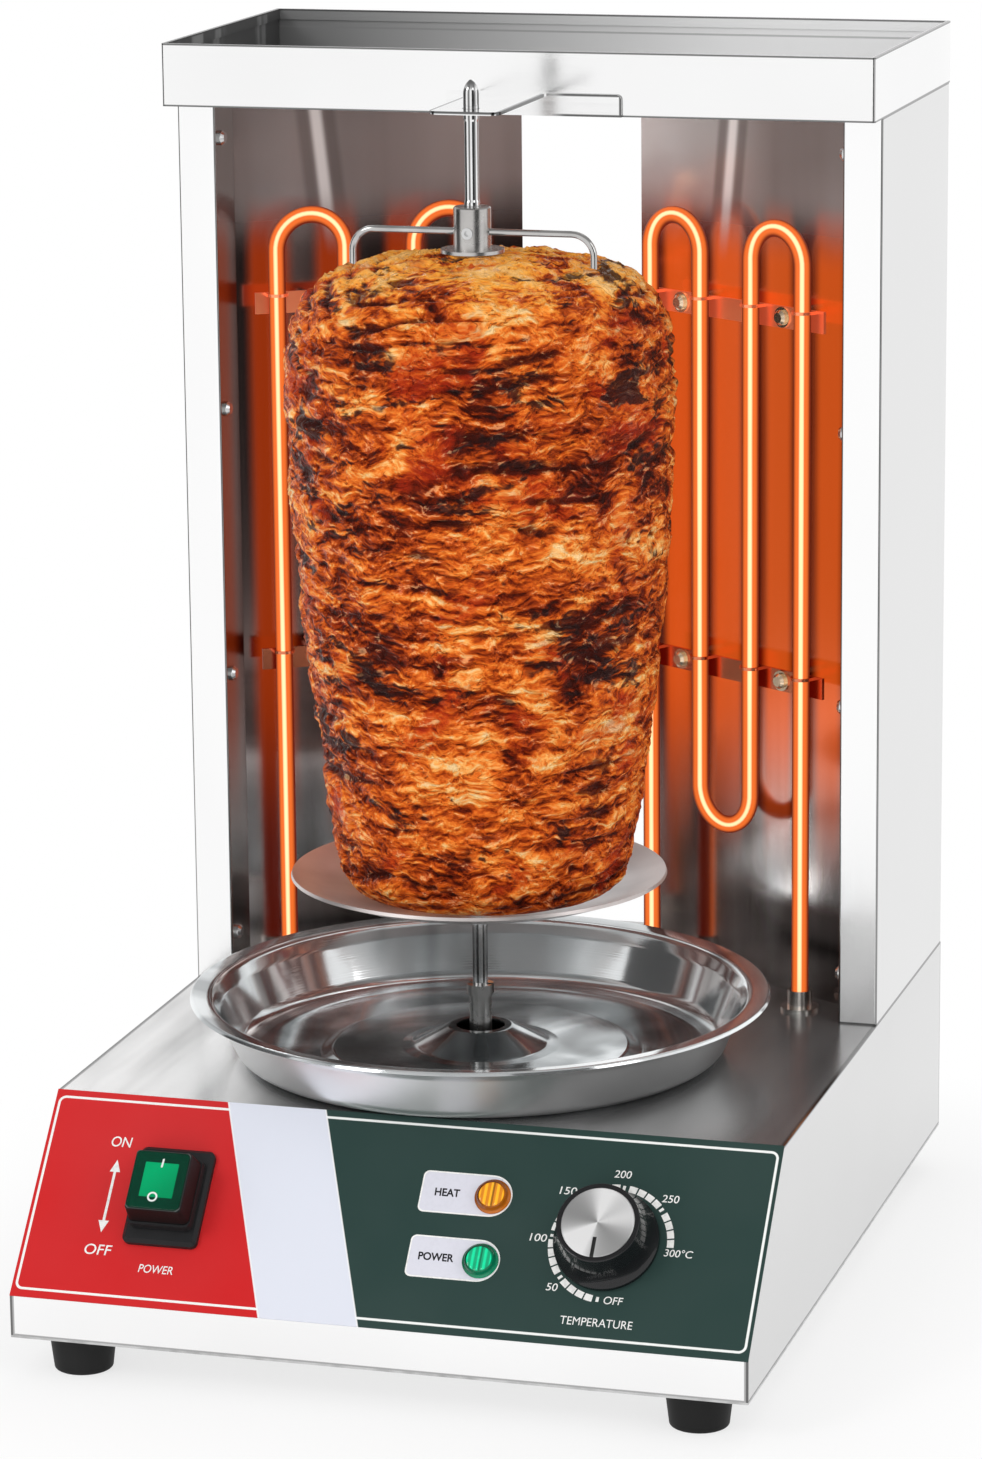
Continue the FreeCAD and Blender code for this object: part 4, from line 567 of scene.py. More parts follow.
# The heater's line in its own plane: up the first leg, half a turn over the top, down the
# second, half a turn under, up the third, half a turn over and down the last.
def heaterLine(side):
    legs = heaterSet["legFirst"] + heaterSet["legStep"] * np.arange(4)
    top, low, foot = heaterSet["topBend"], heaterSet["lowBend"], heaterSet["legFoot"]
    short = heaterSet["bendRun"]  # the points of a straight leg stop this short of a bend

    def leg(number, start, end, count):
        return np.stack([np.full(count, legs[number]), np.linspace(start, end, count)], 1)

    def halfTurn(number, height, way):
        turn, radius = np.linspace(0, math.pi, 25), heaterSet["legStep"] / 2
        middle = (legs[number] + legs[number + 1]) / 2
        return np.stack([middle - radius * np.cos(turn), height + way * radius * np.sin(turn)], 1)

    flat = np.vstack([leg(0, foot, top - short, 40), halfTurn(0, top, 1),
                      leg(1, top - short, low + short, 30), halfTurn(1, low, -1),
                      leg(2, low + short, top - short, 30), halfTurn(2, top, 1),
                      leg(3, top - short, foot, 40)])
    turnX, turnY = math.cos(facetAngle), math.sin(facetAngle)
    x = facetLip[0] + flat[:, 0] * turnX + heaterSet["stand"] * turnY
    y = facetLip[1] + flat[:, 0] * turnY - heaterSet["stand"] * turnX
    return np.stack([-side * x, y, flat[:, 1]], 1) * mm


# Each point of the bar stores the outward direction, square to the bar there, that is nearest
# to one fixed direction, so the painted highlight line keeps to one side of the legs and the bends.
def storeHighlightDirection(mesh, line):
    run = np.gradient(line, axis=0)
    run /= np.linalg.norm(run, axis=1)[:, None]
    toward = np.array(heaterSet["crest"]) - (run @ heaterSet["crest"])[:, None] * run
    toward /= np.linalg.norm(toward, axis=1)[:, None]
    points = np.zeros(len(mesh.vertices) * 3)
    mesh.vertices.foreach_get("co", points)
    nearest = np.linalg.norm(points.reshape(-1, 1, 3) - line[None], axis=2).argmin(1)
    mesh.attributes.new("crest", "FLOAT_VECTOR", "POINT").data.foreach_set("vector", toward[nearest].ravel())


glow, bars = glowingSheath(), []
for side, word in ((-1, "left"), (1, "right")):
    normal = np.array([-side * math.sin(facetAngle), -math.cos(facetAngle), 0])
    line = heaterLine(side)
    bar = meshGrid("heater_bar_" + word, barAlong(line, normal, heaterSet["radius"] * mm), crease=0)
    storeHighlightDirection(bar, line)
    stands = ["heating_element_" + word]
    bars.append(addPiece("heater_bar_" + word, bar, "base", glow, stands))

print("heaters")


# The dark, middle and light bands are painted reflection; gap is painted shade; tint and haze paint the
# heaters' glow reflected; top and topInner are painted light above the heaters; shine and streak place a
# painted highlight.
reflectorSet = {"dark": (0.22, 0.18, 0.17), "middle": (0.52, 0.47, 0.45), "light": (0.86, 0.83, 0.82),
                "bands": 17.0, "gap": (0.20, 0.085, 0.065), "streakHighlight": (0.34, 0.31, 0.30),
                "glowReflection": {-1: (0.24, 0.10, 0.07), 1: (0.40, 0.12, 0.06)},
                "glowHaze": {-1: (0.26, 0.028, 0.003), 1: (0.56, 0.076, 0.008)},
                "top": {-1: (0.36, 0.29, 0.275), 1: (0.52, 0.44, 0.42)},
                "topInner": {-1: (0.66, 0.54, 0.51), 1: (1.0, 0.98, 0.97)},
                "streak": {-1: 0.043, 1: 0.081}}


# Heat-dulled steel with painted reflection in upright dark and light bands. Behind the heater's
# legs a painted reflection of their glow tints it orange and glows, with painted shade in the
# gaps; above them it is paler, painted light, where a painted highlight streak with a dark
# flank leans across. The left sheet's side is -1, the right's 1.
def reflectorSteel(name, side):
    material, wire = newFinish(name)
    place = placeOn(wire)
    z = split(place)[2]
    turnX, turnY = math.cos(facetAngle), math.sin(facetAngle)
    lip = (facetLip[0] * turnX + facetLip[1] * turnY) * mm
    run = along(place, (-side * turnX, turnY, 0), lip)  # how far in from the sheet's front lip
    bands = cloud(join(run * reflectorSet["bands"], side * 3.7, z * 2.2), 1.0, 3.0, 0.55, 0.4)
    fine = grainOf(place, "z")
    heat = rise(z, 0.16, 0.26) * rise(z + 0.012 * (bands - 0.5), 0.487, 0.452)
    high = rise(z, 0.45, 0.49)
    legFirst, legStep = heaterSet["legFirst"] * mm, heaterSet["legStep"] * mm
    legs = run.sum("COSINE", (run - legFirst) * (2 * math.pi / legStep))  # 1 straight behind each leg
    near = rise(run, -0.004, 0.006) * rise(run, 0.140, 0.122)
    # A painted reflection of the heaters' glow behind each leg.
    band = heat * near * rise(legs + 1.1 * (bands - 0.5), -0.7, 0.6)
    # Painted reflection: upright dark and light bands.
    shade = colourRun(bands, [(0.34, reflectorSet["dark"]), (0.5, reflectorSet["middle"]),
                              (0.7, reflectorSet["light"])])
    shade = blendColour(shade, reflectorSet["gap"], heat * 0.75)
    shade = blendColour(shade, reflectorSet["glowReflection"][side], band * 0.8)
    # Painted light: paler above the heaters.
    upper = blendColour(reflectorSet["top"][side], reflectorSet["topInner"][side], rise(run, 0.05, 0.12))
    upper = blendColour(reflectorSet["dark"], upper, rise(bands, 0.15, 0.5))
    shade = blendColour(shade, upper, high * 0.85)
    # A painted highlight streak, with a dark flank of painted shade beside it.
    aside = abs(run + 0.11 * (z - 0.5) + 0.004 * (bands - 0.5) - reflectorSet["streak"][side])
    shade = blendColour(shade, reflectorSet["dark"], rise(abs(aside - 0.0065), 0.0045, 0.001) * high * 0.6)
    glowing = blendColour((0, 0, 0), reflectorSet["glowHaze"][side], band)
    glowing = blendColour(glowing, reflectorSet["streakHighlight"], rise(aside, 0.0042, 0.001) * high)
    endFinish(wire, Base_Color=shade, Metallic=1.0 - 0.55 * high, Normal=steelGrain(fine),
              Roughness=0.15 + 0.08 * (fine - 0.5) + 0.08 * (bands - 0.5),
              Emission_Color=glowing, Emission_Strength=1.0)
    return material


# The outline gives shares of the height and of the widest radius, from the plate up.
meatSet = {"columns": 330, "rows": 298, "radius": 86.3, "aside": 3.0, "low": 188.9, "high": 474.9,
           "outline": [(0, .67), (.02, .735), (.06, .77), (.15, .82), (.33, .9), (.5, .955), (.65, .985),
                       (.78, 1), (.86, .992), (.9, .97), (.935, .915), (.96, .83), (.975, .74), (.987, .6),
                       (.995, .42), (1, .16)],
           "holeLow": 8.0, "holeHigh": 6.0, "dense": 900, "smooth": 25, "slice": 13.0, "sliceDepth": 3.4,
           "shredDepth": 1.9, "fineDepth": 1.0, "lumpDepth": 3.0, "deepest": 4.2, "highest": 1.1,
           "calmLow": 8.0, "calmHole": 20.0}


# The stack's side: a radius for each height through the outline's shares, smoothed and set
# out at even steps along the line, from the plate, over the crown, to the rod.
def meatProfile():
    share = np.array(meatSet["outline"])
    tall = meatSet["high"] - meatSet["low"]
    line = np.stack([share[:, 1] * meatSet["radius"], meatSet["low"] + share[:, 0] * tall], 1)
    line = np.vstack([[meatSet["holeLow"], meatSet["low"]], line, [meatSet["holeHigh"], meatSet["high"]]])
    step = np.concatenate([[0], np.cumsum(np.linalg.norm(np.diff(line, axis=0), axis=1))])
    even = np.linspace(0, step[-1], meatSet["dense"])
    dense = np.stack([np.interp(even, step, line[:, 0]), np.interp(even, step, line[:, 1])], 1)
    smooth = meatSet["smooth"]
    for _ in range(2):
        padded = np.pad(dense, ((smooth // 2, smooth // 2), (0, 0)), "edge")
        dense = np.stack([np.convolve(padded[:, k], np.ones(smooth) / smooth, "valid") for k in range(2)], 1)
    pick = np.linspace(0, len(dense) - 1, meatSet["rows"]).round().astype(int)
    return dense[pick]


# The stack: the side goes round the rod, and each point moves out or in by stacked
# slices with rounded edges, by long shreds that lie across, and by fine lumps. The stack
# is carved a little to one side of the rod.
def meatSurface():
    line = meatProfile()
    run = np.gradient(line, axis=0)
    run /= np.linalg.norm(run, axis=1)[:, None]
    out = np.stack([run[:, 1], -run[:, 0]], 1)
    up = np.linspace(0, 1, len(line))[:, None]
    around = np.arange(meatSet["columns"])[None, :] / meatSet["columns"]
    up, around = np.broadcast_arrays(up, around)
    length = np.linalg.norm(np.diff(line, axis=0), axis=1).sum()
    wander = 2.2 * swell(around, up, 4, 6, 1) + 1.1 * swell(around, up, 9, 11, 2)
    wander += 0.4 * swell(around, up, 26, 24, 3)
    part = (up * length / meatSet["slice"] + wander) % 1
    edge = np.clip(1 - np.abs(2 * part - 1) ** 5, 0, 1) * (0.55 + 0.45 * part)
    patchy = np.clip(2.2 * swell(around, up, 11, 17, 4) - 0.6, 0, 1)
    across = around + 0.008 * swell(around, up, 40, 30, 5)
    shred = 1 - np.abs(2 * swell(across, up + 0.004 * swell(around, up, 33, 20, 9), 50, 112, 6) - 1)
    second = 1 - np.abs(2 * swell(across, up, 100, 190, 7) - 1)
    lump = swell(around, up, 26, 34, 8)
    move = (meatSet["sliceDepth"] * (edge - 1) * patchy + meatSet["shredDepth"] * (shred - 0.75)
            + meatSet["fineDepth"] * (second - 0.6)
            + meatSet["lumpDepth"] * (lump - 0.62) * (0.5 + 0.5 * patchy))
    calm = np.clip((line[:, 1:] - meatSet["low"]) / meatSet["calmLow"], 0, 1)
    calm = calm * np.clip((line[:, :1] - meatSet["holeHigh"]) / meatSet["calmHole"], 0, 1)
    move = np.clip(move, -meatSet["deepest"], meatSet["highest"]) * calm
    radius = line[:, :1] + move * out[:, :1]
    tall = line[:, 1:] + move * out[:, 1:]
    angle = around * 2 * math.pi
    x = meatSet["aside"] + radius * np.cos(angle)
    y = radius * np.sin(angle) + skewerY / mm
    points = np.stack([x, y, tall], -1) * mm
    burnt = swell(around, up, 14, 28, 11) * 0.5 + swell(around, up, 34, 64, 12) * 0.5
    burnt += 0.09 * np.exp(-((up - 0.72) / 0.1) ** 2) + 0.12 * (1 - edge) * patchy
    return points, (move + meatSet["deepest"]) / (meatSet["deepest"] + meatSet["highest"]), burnt


# crease and pit are painted shade, fleck is a painted highlight.
roastSet = {"foldScale": 50.0, "shredScale": 150.0, "crumbScale": 620.0, "patchScale": 33.0,
            "tones": [(0.10, (0.030, 0.003, 0.001)), (0.25, (0.13, 0.010, 0.001)),
                      (0.38, (0.36, 0.045, 0.004)), (0.5, (0.66, 0.105, 0.009)), (0.63, (0.90, 0.22, 0.026)),
                      (0.78, (1.0, 0.46, 0.12)), (0.92, (1.0, 0.68, 0.32))],
            "crown": (1.0, 0.44, 0.045), "red": (0.52, 0.030, 0.006), "crease": (0.05, 0.005, 0.002),
            "pitShade": (0.05, 0.006, 0.003), "char": (0.022, 0.007, 0.006), "fleckHighlight": (1.0, 0.62, 0.30),
            "crownFrom": (0.451, 0.474), "footFrom": (0.31, 0.22), "bump": 0.008}


# Folds and shreds are two sizes of flattened noise. Each is read again a little higher up,
# and where it is thicker there the place lies under an edge and is given painted shade. Broad
# pale, red and charred patches lie over them; thin dark creases of painted shade run where the
# folds meet, low places get painted shade, and pale flecks on the shreds are painted highlights.
def meatFinish():
    material, wire = newFinish("roast_meat")
    place = placeOn(wire)
    deep = wire.node("ShaderNodeAttribute", {"attribute_name": "relief"}, None, "Fac")
    burnt = wire.node("ShaderNodeAttribute", {"attribute_name": "burnt"}, None, "Fac")
    bend = wire.node("ShaderNodeTexNoise", None,
                     {"Vector": place, "Scale": 48.0, "Detail": 2.0, "Roughness": 0.55}, "Color")
    bend = wire.node("ShaderNodeVectorMath", {"operation": "MULTIPLY_ADD"},
                     {0: bend, 1: (0.020, 0.020, 0.012), 2: place})
    lying = stretch(bend, (1, 1, 2.0))
    above = wire.node("ShaderNodeVectorMath", {"operation": "ADD"}, {0: lying, 1: (0, 0, 0.0026)})
    folds, foldsAbove = [cloud(at, roastSet["foldScale"], 4.0, 0.58, 0.3) for at in (lying, above)]
    shreds, shredsAbove = [cloud(at, roastSet["shredScale"], 3.0, 0.56, 0.4) for at in (lying, above)]
    crumbs = cloud(stretch(bend, (1, 1, 1.7)), roastSet["crumbScale"], 2.0, 0.6)
    patches = cloud(stretch(place, (1, 1, 1.6)), roastSet["patchScale"], 2.0, 0.5, 0.8)
    under = (foldsAbove - folds) * 1.5 + (shredsAbove - shreds) * 0.42
    tall = split(place)[2]
    crown, foot = rise(tall, *roastSet["crownFrom"]), rise(tall, *roastSet["footFrom"])
    tone = 0.47 + (1.25 - 0.45 * foot) * (patches - 0.5)
    tone = tone + 0.6 * (folds - 0.5) + 0.4 * (shreds - 0.5) + 0.25 * (crumbs - 0.5)
    # Painted shade: darker under the edges and in the low places of the relief.
    tone = tone - under + 0.34 * (deep - 0.64) + 0.18 * crown
    colour = colourRun(tone, roastSet["tones"])
    colour = blendColour(colour, roastSet["crown"], crown * rise(tone, 0.42, 0.66) * 0.62)
    red = rise(cloud(place, 30.0, 3.0, 0.5, 0.6), 0.53, 0.66)
    colour = blendColour(colour, roastSet["red"], red * 0.5)
    # Painted shade: thin dark creases where the folds meet, beneath the edges.
    crease = rise(abs(folds - 0.5), 0.016, 0.0) * rise(under, -0.06, 0.06)
    colour = blendColour(colour, roastSet["crease"], crease * 0.7)
    # Painted shade in the low places.
    pitShade = rise(deep + 0.5 * (shreds - 0.5), 0.46, 0.2)
    colour = blendColour(colour, roastSet["pitShade"], pitShade * 0.8)
    singe = cloud(stretch(bend, (1, 1, 2.1)), 24.0, 3.0, 0.6, 1.0)
    # The char is the meat's own colour, but it gathers partly where the painted shade lies.
    singe = singe + 0.45 * (shreds - 0.5) + 0.5 * under + 0.35 * (burnt - 0.5) - 0.045 * foot
    char = rise(singe, 0.61, 0.72)
    colour = blendColour(colour, roastSet["char"], char * 0.9)
    # Painted highlights: pale flecks on the shreds' tops.
    fleckHighlight = rise(shreds * 0.7 + crumbs * 0.3 - under * 0.5, 0.6, 0.68) * (1 - char * 0.7)
    colour = blendColour(colour, roastSet["fleckHighlight"], fleckHighlight * 0.3)
    height = folds * 0.9 + shreds * 0.42 + crumbs * 0.1
    wet = rise(shreds - under * 0.4, 0.52, 0.62)
    endFinish(wire, Base_Color=colour, Roughness=0.46 - 0.2 * wet, Normal=relief(height, roastSet["bump"]),
              Coat_Weight=0.17 * wet, Coat_Roughness=0.12, Specular_IOR_Level=0.06)
    return material


points, raised, burnt = meatSurface()
meatMesh = meshGrid("roast_stack", points, crease=0, outward=False)
for word, values in (("relief", raised), ("burnt", burnt)):
    stored = meatMesh.attributes.new(word, "FLOAT", "POINT")
    stored.data.foreach_set("value", values.astype(np.float32).ravel())
roast = addPiece("roast_stack", meatMesh, "skewer", meatFinish(), ["meat_stack"])
print("meat")


# A corner is a radius and a height, and in most the radius of its bend, all in mm.
traySet = {"gauge": 0.8, "steps": 200,
           "corners": [(11, 123.6), (14.5, 123.6, 3), (31, 115.4, 8), (36, 114.6, 6), (67, 114.6, 4),
                       (72, 111.8, 4), (101, 111.8, 12), (109.5, 114.5, 8), (117.5, 133.5, 10),
                       (121.5, 139.6, 5), (130.4, 140.6, 1.2), (131.2, 139)],
           # The tones and the floor tones are painted reflection; outside is painted light on the outer wall,
           # paler at the left.
           "tones": [(0.36, (0.40, 0.42, 0.43)), (0.5, (0.80, 0.83, 0.84)), (0.62, (0.95, 0.97, 0.98))],
           "floorReflections": [(0.38, (0.15, 0.165, 0.17)), (0.5, (0.33, 0.36, 0.37)), (0.64, (0.86, 0.9, 0.92))],
           "floorEdge": (0.110, 0.104), "outside": (0.95, 0.5)}


def traySteel():  # a polished dish, its tones a painted reflection, with a duller outside painted paler at the left and darker at the right
    material, wire = newFinish("tray_mirror")
    place = placeOn(wire)
    x, y = split(place)[:2]
    lookX, lookY, lookZ = split(facing(wire))
    radius = reach(x, y - skewerY)
    soft = cloud(place, 16.0, 3.0, 0.5, 0.5)
    sweep = cloud(stretch(place, (1, 1, 0.2)), 13.0, 2.0, 0.5, 1.2)
    fine = cloud(join(radius * 2600, 1.0, 1.0), 1.0, 2.0)
    floor = rise(radius, *traySet["floorEdge"])
    shade = colourRun(sweep, traySet["tones"])
    shade = blendColour(shade, colourRun(sweep, traySet["floorReflections"]), floor * 0.85)
    outside = rise((x * lookX + (y - skewerY) * lookY) / radius, 0.2, 0.5) * rise(lookZ, 0.5, 0.2)
    wall = blendColour(*map(grey, traySet["outside"]), rise(x + 0.08 * (soft - 0.5), -0.07, 0.11))
    shade = blendColour(shade, wall, outside)
    endFinish(wire, Base_Color=shade, Metallic=0.88, Roughness=0.07 + 0.05 * soft + 0.24 * outside,
              Normal=relief(fine + soft * 4, 0.00006, 0.4))
    return material


trayWall = turned(walled(roundCorners(traySet["corners"]), traySet["gauge"]), traySet["steps"])
trayMesh = meshGrid("tray_dish", trayWall, closedAlong=True)
addPiece("tray_dish", trayMesh, "tray", traySteel(), ["drip_tray"])

plateSet = {"gauge": 1.5, "corners": [(4.2, 188.4), (62, 188.4, 60), (84, 196.4)], "steps": 180,
            "dark": 0.52, "light": 0.70, "rim": (0.66, 0.46, 0.40)}


def plateSteel():  # satin rings, a little redder near the rim
    material, wire = newFinish("plate_satin")
    place = placeOn(wire)
    x, y = split(place)[:2]
    radius = reach(x, y - skewerY)
    rings = cloud(join(radius * 2200, 1.0, 1.0), 1.0, 3.0)
    soft = cloud(place, 30.0, 3.0)
    shade = colourRun(soft, [(0.3, grey(plateSet["dark"])), (0.7, grey(plateSet["light"]))])
    shade = blendColour(shade, plateSet["rim"], rise(radius, 0.06, 0.09) * 0.3)
    endFinish(wire, Base_Color=shade, Metallic=0.75, Roughness=0.34 + 0.14 * (rings - 0.5),
              Normal=relief(rings, 0.00003, 0.5))
    return material


plateWall = turned(walled(roundCorners(plateSet["corners"], 24), plateSet["gauge"]), plateSet["steps"])
plateMesh = meshGrid("plate_dish", plateWall, closedAlong=True)
addPiece("plate_dish", plateMesh, "skewer", plateSteel(), ["support_plate"])
print("tray and plate")


# A border's edge is how far across it starts at the top, and how far it leans over the length.
printSet = {"red": (0.60, 0.015, 0.017), "white": (0.72, 0.745, 0.83), "green": (0.021, 0.050, 0.044),
            "line": (0.86, 0.88, 0.86), "border": 0.9, "redEdge": (-85.3, 34.4), "greenEdge": (-40.4, 34.1),
            "length": 99.0, "stroke": 0.55, "frameMiddle": 49.4, "frame": (163.0, 45.9, 3.0)}


def printedPanel():  # red, white and green fields with slanting borders, and a fine white frame
    material, wire = newFinish("panel_print")
    place = placeOn(wire)
    across = split(place)[0] * 1000
    down = panelDown(place)
    edgeRed, edgeGreen = [across - (start + lean / printSet["length"] * down)
                          for start, lean in (printSet["redEdge"], printSet["greenEdge"])]
    grain = cloud(place, 700.0, 3.0)
    soft = cloud(place, 12.0, 3.0)
    field = blendColour(printSet["red"], printSet["white"], rise(edgeRed, -0.08, 0.08))
    field = blendColour(field, printSet["green"], rise(edgeGreen, -0.08, 0.08))
    trim = roundedBox(across, down - printSet["frameMiddle"], *printSet["frame"])
    stroke = rise(abs(trim), printSet["stroke"] + 0.12, printSet["stroke"] - 0.12)
    outside = most(rise(edgeRed, 0.2, 0.0), rise(edgeGreen, 0.0, 0.2))
    field = blendColour(field, printSet["line"], stroke * outside)
    slant = most(rise(abs(edgeRed), 0.45, 0.25), rise(abs(edgeGreen), 0.45, 0.25))
    field = blendColour(field, grey(printSet["border"]), slant * 0.8)
    shade = blendColour(field, grey(0.5), 0.06 * (soft - 0.3))
    endFinish(wire, Base_Color=shade, Roughness=0.42 + 0.12 * (soft - 0.5),
              Normal=relief(grain, 0.00001, 0.4), Specular_IOR_Level=0.1)
    return material


def printInk(name, colour, uneven=0.14):
    material, wire = newFinish(name)
    grain = cloud(placeOn(wire), 500.0, 3.0)
    dull = tuple(channel * (1 - uneven) for channel in colour)
    shade = blendColour(dull, colour, rise(grain, 0.3, 0.55))
    endFinish(wire, Base_Color=shade, Roughness=0.4 + 0.15 * grain, Specular_IOR_Level=0.2)
    return material


whiteInk = printInk("ink_white", (0.87, 0.87, 0.85))
darkInk = printInk("ink_dark", (0.012, 0.012, 0.016))
labelInk = printInk("ink_label", (0.69, 0.69, 0.765), 0.03)


def flatMark(name, outlines, lift, ink):  # each outline is one flat face on the panel
    points, faces = [], []
    for outline in outlines:
        faces.append(list(range(len(points), len(points) + len(outline))))
        points.extend((x, y, lift) for x, y in outline)
    mesh = bpy.data.meshes.new(name)
    mesh.from_pydata(onPanel(points).tolist(), [], faces)
    for face in mesh.polygons:
        if face.normal.dot(Vector(slopeOut)) < 0:
            face.flip()
    addPiece(name, mesh, "base", ink)


# The lifts are heights above the steel under the panel's film, in mm.
markSet = {"lift": 0.66, "slant": 0.08, "bold": 0.004, "shapeLift": 0.64, "edgeLift": 0.63, "labelLift": 0.7}


# Lettering: the font's outline as a flat mesh, scaled to the height of its capitals and
# its width, slanted, and laid on the panel round its middle.
def lettering(name, words, across, down, width, height, ink=whiteInk,
              slant=markSet["slant"], lift=markSet["lift"], bold=1.0):
    text = bpy.data.curves.new(name, "FONT")
    text.body, text.size, text.offset = words, 1.0, markSet["bold"] * bold
    holder = bpy.data.objects.new(name, text)
    bpy.context.scene.collection.objects.link(holder)
    bpy.context.view_layer.update()
    mesh = bpy.data.meshes.new_from_object(holder.evaluated_get(bpy.context.evaluated_depsgraph_get()))
    bpy.data.objects.remove(holder)
    flat = np.zeros(len(mesh.vertices) * 3)
    mesh.vertices.foreach_get("co", flat)
    flat = flat.reshape(-1, 3)[:, :2]
    low, high = flat.min(0), flat.max(0)
    flat = (flat - (low + high) / 2) / (high - low) * (width, height)
    flat[:, 0] += slant * flat[:, 1]
    placed = np.stack([across + flat[:, 0], down - flat[:, 1], np.full(len(flat), lift)], 1)
    mesh.vertices.foreach_set("co", onPanel(placed).ravel())
    mesh.materials.clear()
    mesh.update()
    addPiece(name, mesh, "base", ink)


labelSet = {"left": 9.6, "right": 50.6, "half": 9.7, "corner": 2.6, "rim": 0.7, "innerCorner": 2.1,
            "down": {"heat": 34.2, "power": 64.4}}


# A lozenge: square at the left with small rounded corners, half a circle at the right.
def lozenge(left, right, middle, half, corner):
    top, bottom = middle - half, middle + half
    end = np.linspace(-math.pi / 2, math.pi / 2, 24)
    small = np.linspace(0, math.pi / 2, 7)
    nose = np.stack([right - half + half * np.cos(end), middle + half * np.sin(end)], 1)
    lower = np.stack([left + corner - corner * np.sin(small), bottom - corner + corner * np.cos(small)], 1)
    upper = np.stack([left + corner - corner * np.cos(small), top + corner - corner * np.sin(small)], 1)
    return np.vstack([nose, lower, upper])


for word, down in labelSet["down"].items():
    left, right, half, rim = labelSet["left"], labelSet["right"], labelSet["half"], labelSet["rim"]
    edge = lozenge(left, right, down, half, labelSet["corner"])
    field = lozenge(left + rim, right - rim, down, half - rim, labelSet["innerCorner"])
    flatMark("label_%s_edge" % word, [edge], markSet["edgeLift"], whiteInk)
    flatMark("label_%s_field" % word, [field], markSet["lift"], labelInk)

# Each word's middle across and down the panel, its width and its height in mm, and its style.
labelStyle = {"ink": darkInk, "slant": -0.05, "lift": markSet["labelLift"], "bold": 7.0}
uprightStyle = {"slant": 0.0, "bold": 0.0}
wordSet = {"word_heat": ("HEAT", 21.6, 34.2, 11.2, 3.7, labelStyle),
           "word_power_lamp": ("POWER", 22.2, 64.3, 15.8, 3.7, labelStyle),
           "word_on": ("ON", -130, 23, 9.2, 4.9, {}),
           "word_off": ("OFF", -129.6, 74.4, 12.2, 4.9, {}),
           "word_power_switch": ("POWER", -101.2, 81.3, 15.8, 3.8, {}),
           "word_temperature": ("TEMPERATURE", 97.3, 87.8, 31.6, 3.7, uprightStyle)}
for name, (words, across, down, width, height, style) in wordSet.items():
    lettering(name, words, across, down, width, height, **style)

arrowSet = {"across": -130, "tips": (31.6, 66.2), "shaft": (37.4, 60.6), "halfShaft": 0.6, "halfHead": 2.4}


def doubleArrow():  # a bar with a triangle at each end
    middle, thin, wide = arrowSet["across"], arrowSet["halfShaft"], arrowSet["halfHead"]
    (upTip, downTip), (top, bottom) = arrowSet["tips"], arrowSet["shaft"]
    return [[(middle - thin, top), (middle + thin, top), (middle + thin, bottom), (middle - thin, bottom)],
            [(middle, upTip), (middle + wide, top), (middle - wide, top)],
            [(middle, downTip), (middle - wide, bottom), (middle + wide, bottom)]]


flatMark("arrow_up_down", doubleArrow(), markSet["shapeLift"], whiteInk)

# The words stand a step of degrees apart. In each step a dot comes first, then four blocks.
dialSet = {"across": 97.4, "down": 51.4, "ring": (24.4, 27.4), "step": 45, "dot": (1.8, 4.6), "dotInset": 0.4,
           "blocksFrom": 7.5, "blocks": 4, "gap": 0.16, "labelRing": 32.2,
           "words": ["OFF", "50", "100", "150", "200", "250", "300°C"], "digit": 2.45, "height": 3.5,
           "widerOff": 1.12, "slant": 0.1, "moved": {"OFF": (5.5, -6.3), "300°C": (-4.3, 2.0)}}


def dialPlace(angle, radius):  # angle in degrees, clockwise from straight down the slope
    turn = math.radians(angle)
    return dialSet["across"] - radius * math.sin(turn), dialSet["down"] + radius * math.cos(turn)


def dialBlock(start, end, points, inset=0.0):  # a piece of the ring between two angles
    inner, outer = dialSet["ring"]
    sweep = np.linspace(start, end, points)
    return [dialPlace(a, inner + inset) for a in sweep] + [dialPlace(a, outer - inset) for a in sweep[::-1]]


blocks = []
share = (dialSet["step"] - dialSet["blocksFrom"]) / dialSet["blocks"]
for start in range(0, (len(dialSet["words"]) - 1) * dialSet["step"], dialSet["step"]):
    for block in range(dialSet["blocks"]):
        first = start + dialSet["blocksFrom"] + block * share + share * dialSet["gap"] / 2
        blocks.append(dialBlock(first, first + share * (1 - dialSet["gap"]), 5))
    dotStart, dotEnd = dialSet["dot"]
    blocks.append(dialBlock(start + dotStart, start + dotEnd, 3, dialSet["dotInset"]))
flatMark("dial_blocks", blocks, markSet["shapeLift"], whiteInk)
for number, word in enumerate(dialSet["words"]):
    width = dialSet["digit"] * len(word) * (dialSet["widerOff"] if word == "OFF" else 1.0)
    angle = number * dialSet["step"]
    sideways = abs(math.sin(math.radians(angle)))  # a word beside the ring stands off by half its width
    across, down = dialPlace(angle, dialSet["labelRing"] + (width / 2 - 4) * sideways)
    aside, below = dialSet["moved"].get(word, (0, 0))
    lettering("dial_word_%d" % number, word, across + aside, down + below, width, dialSet["height"],
              slant=dialSet["slant"])
print("panel print")


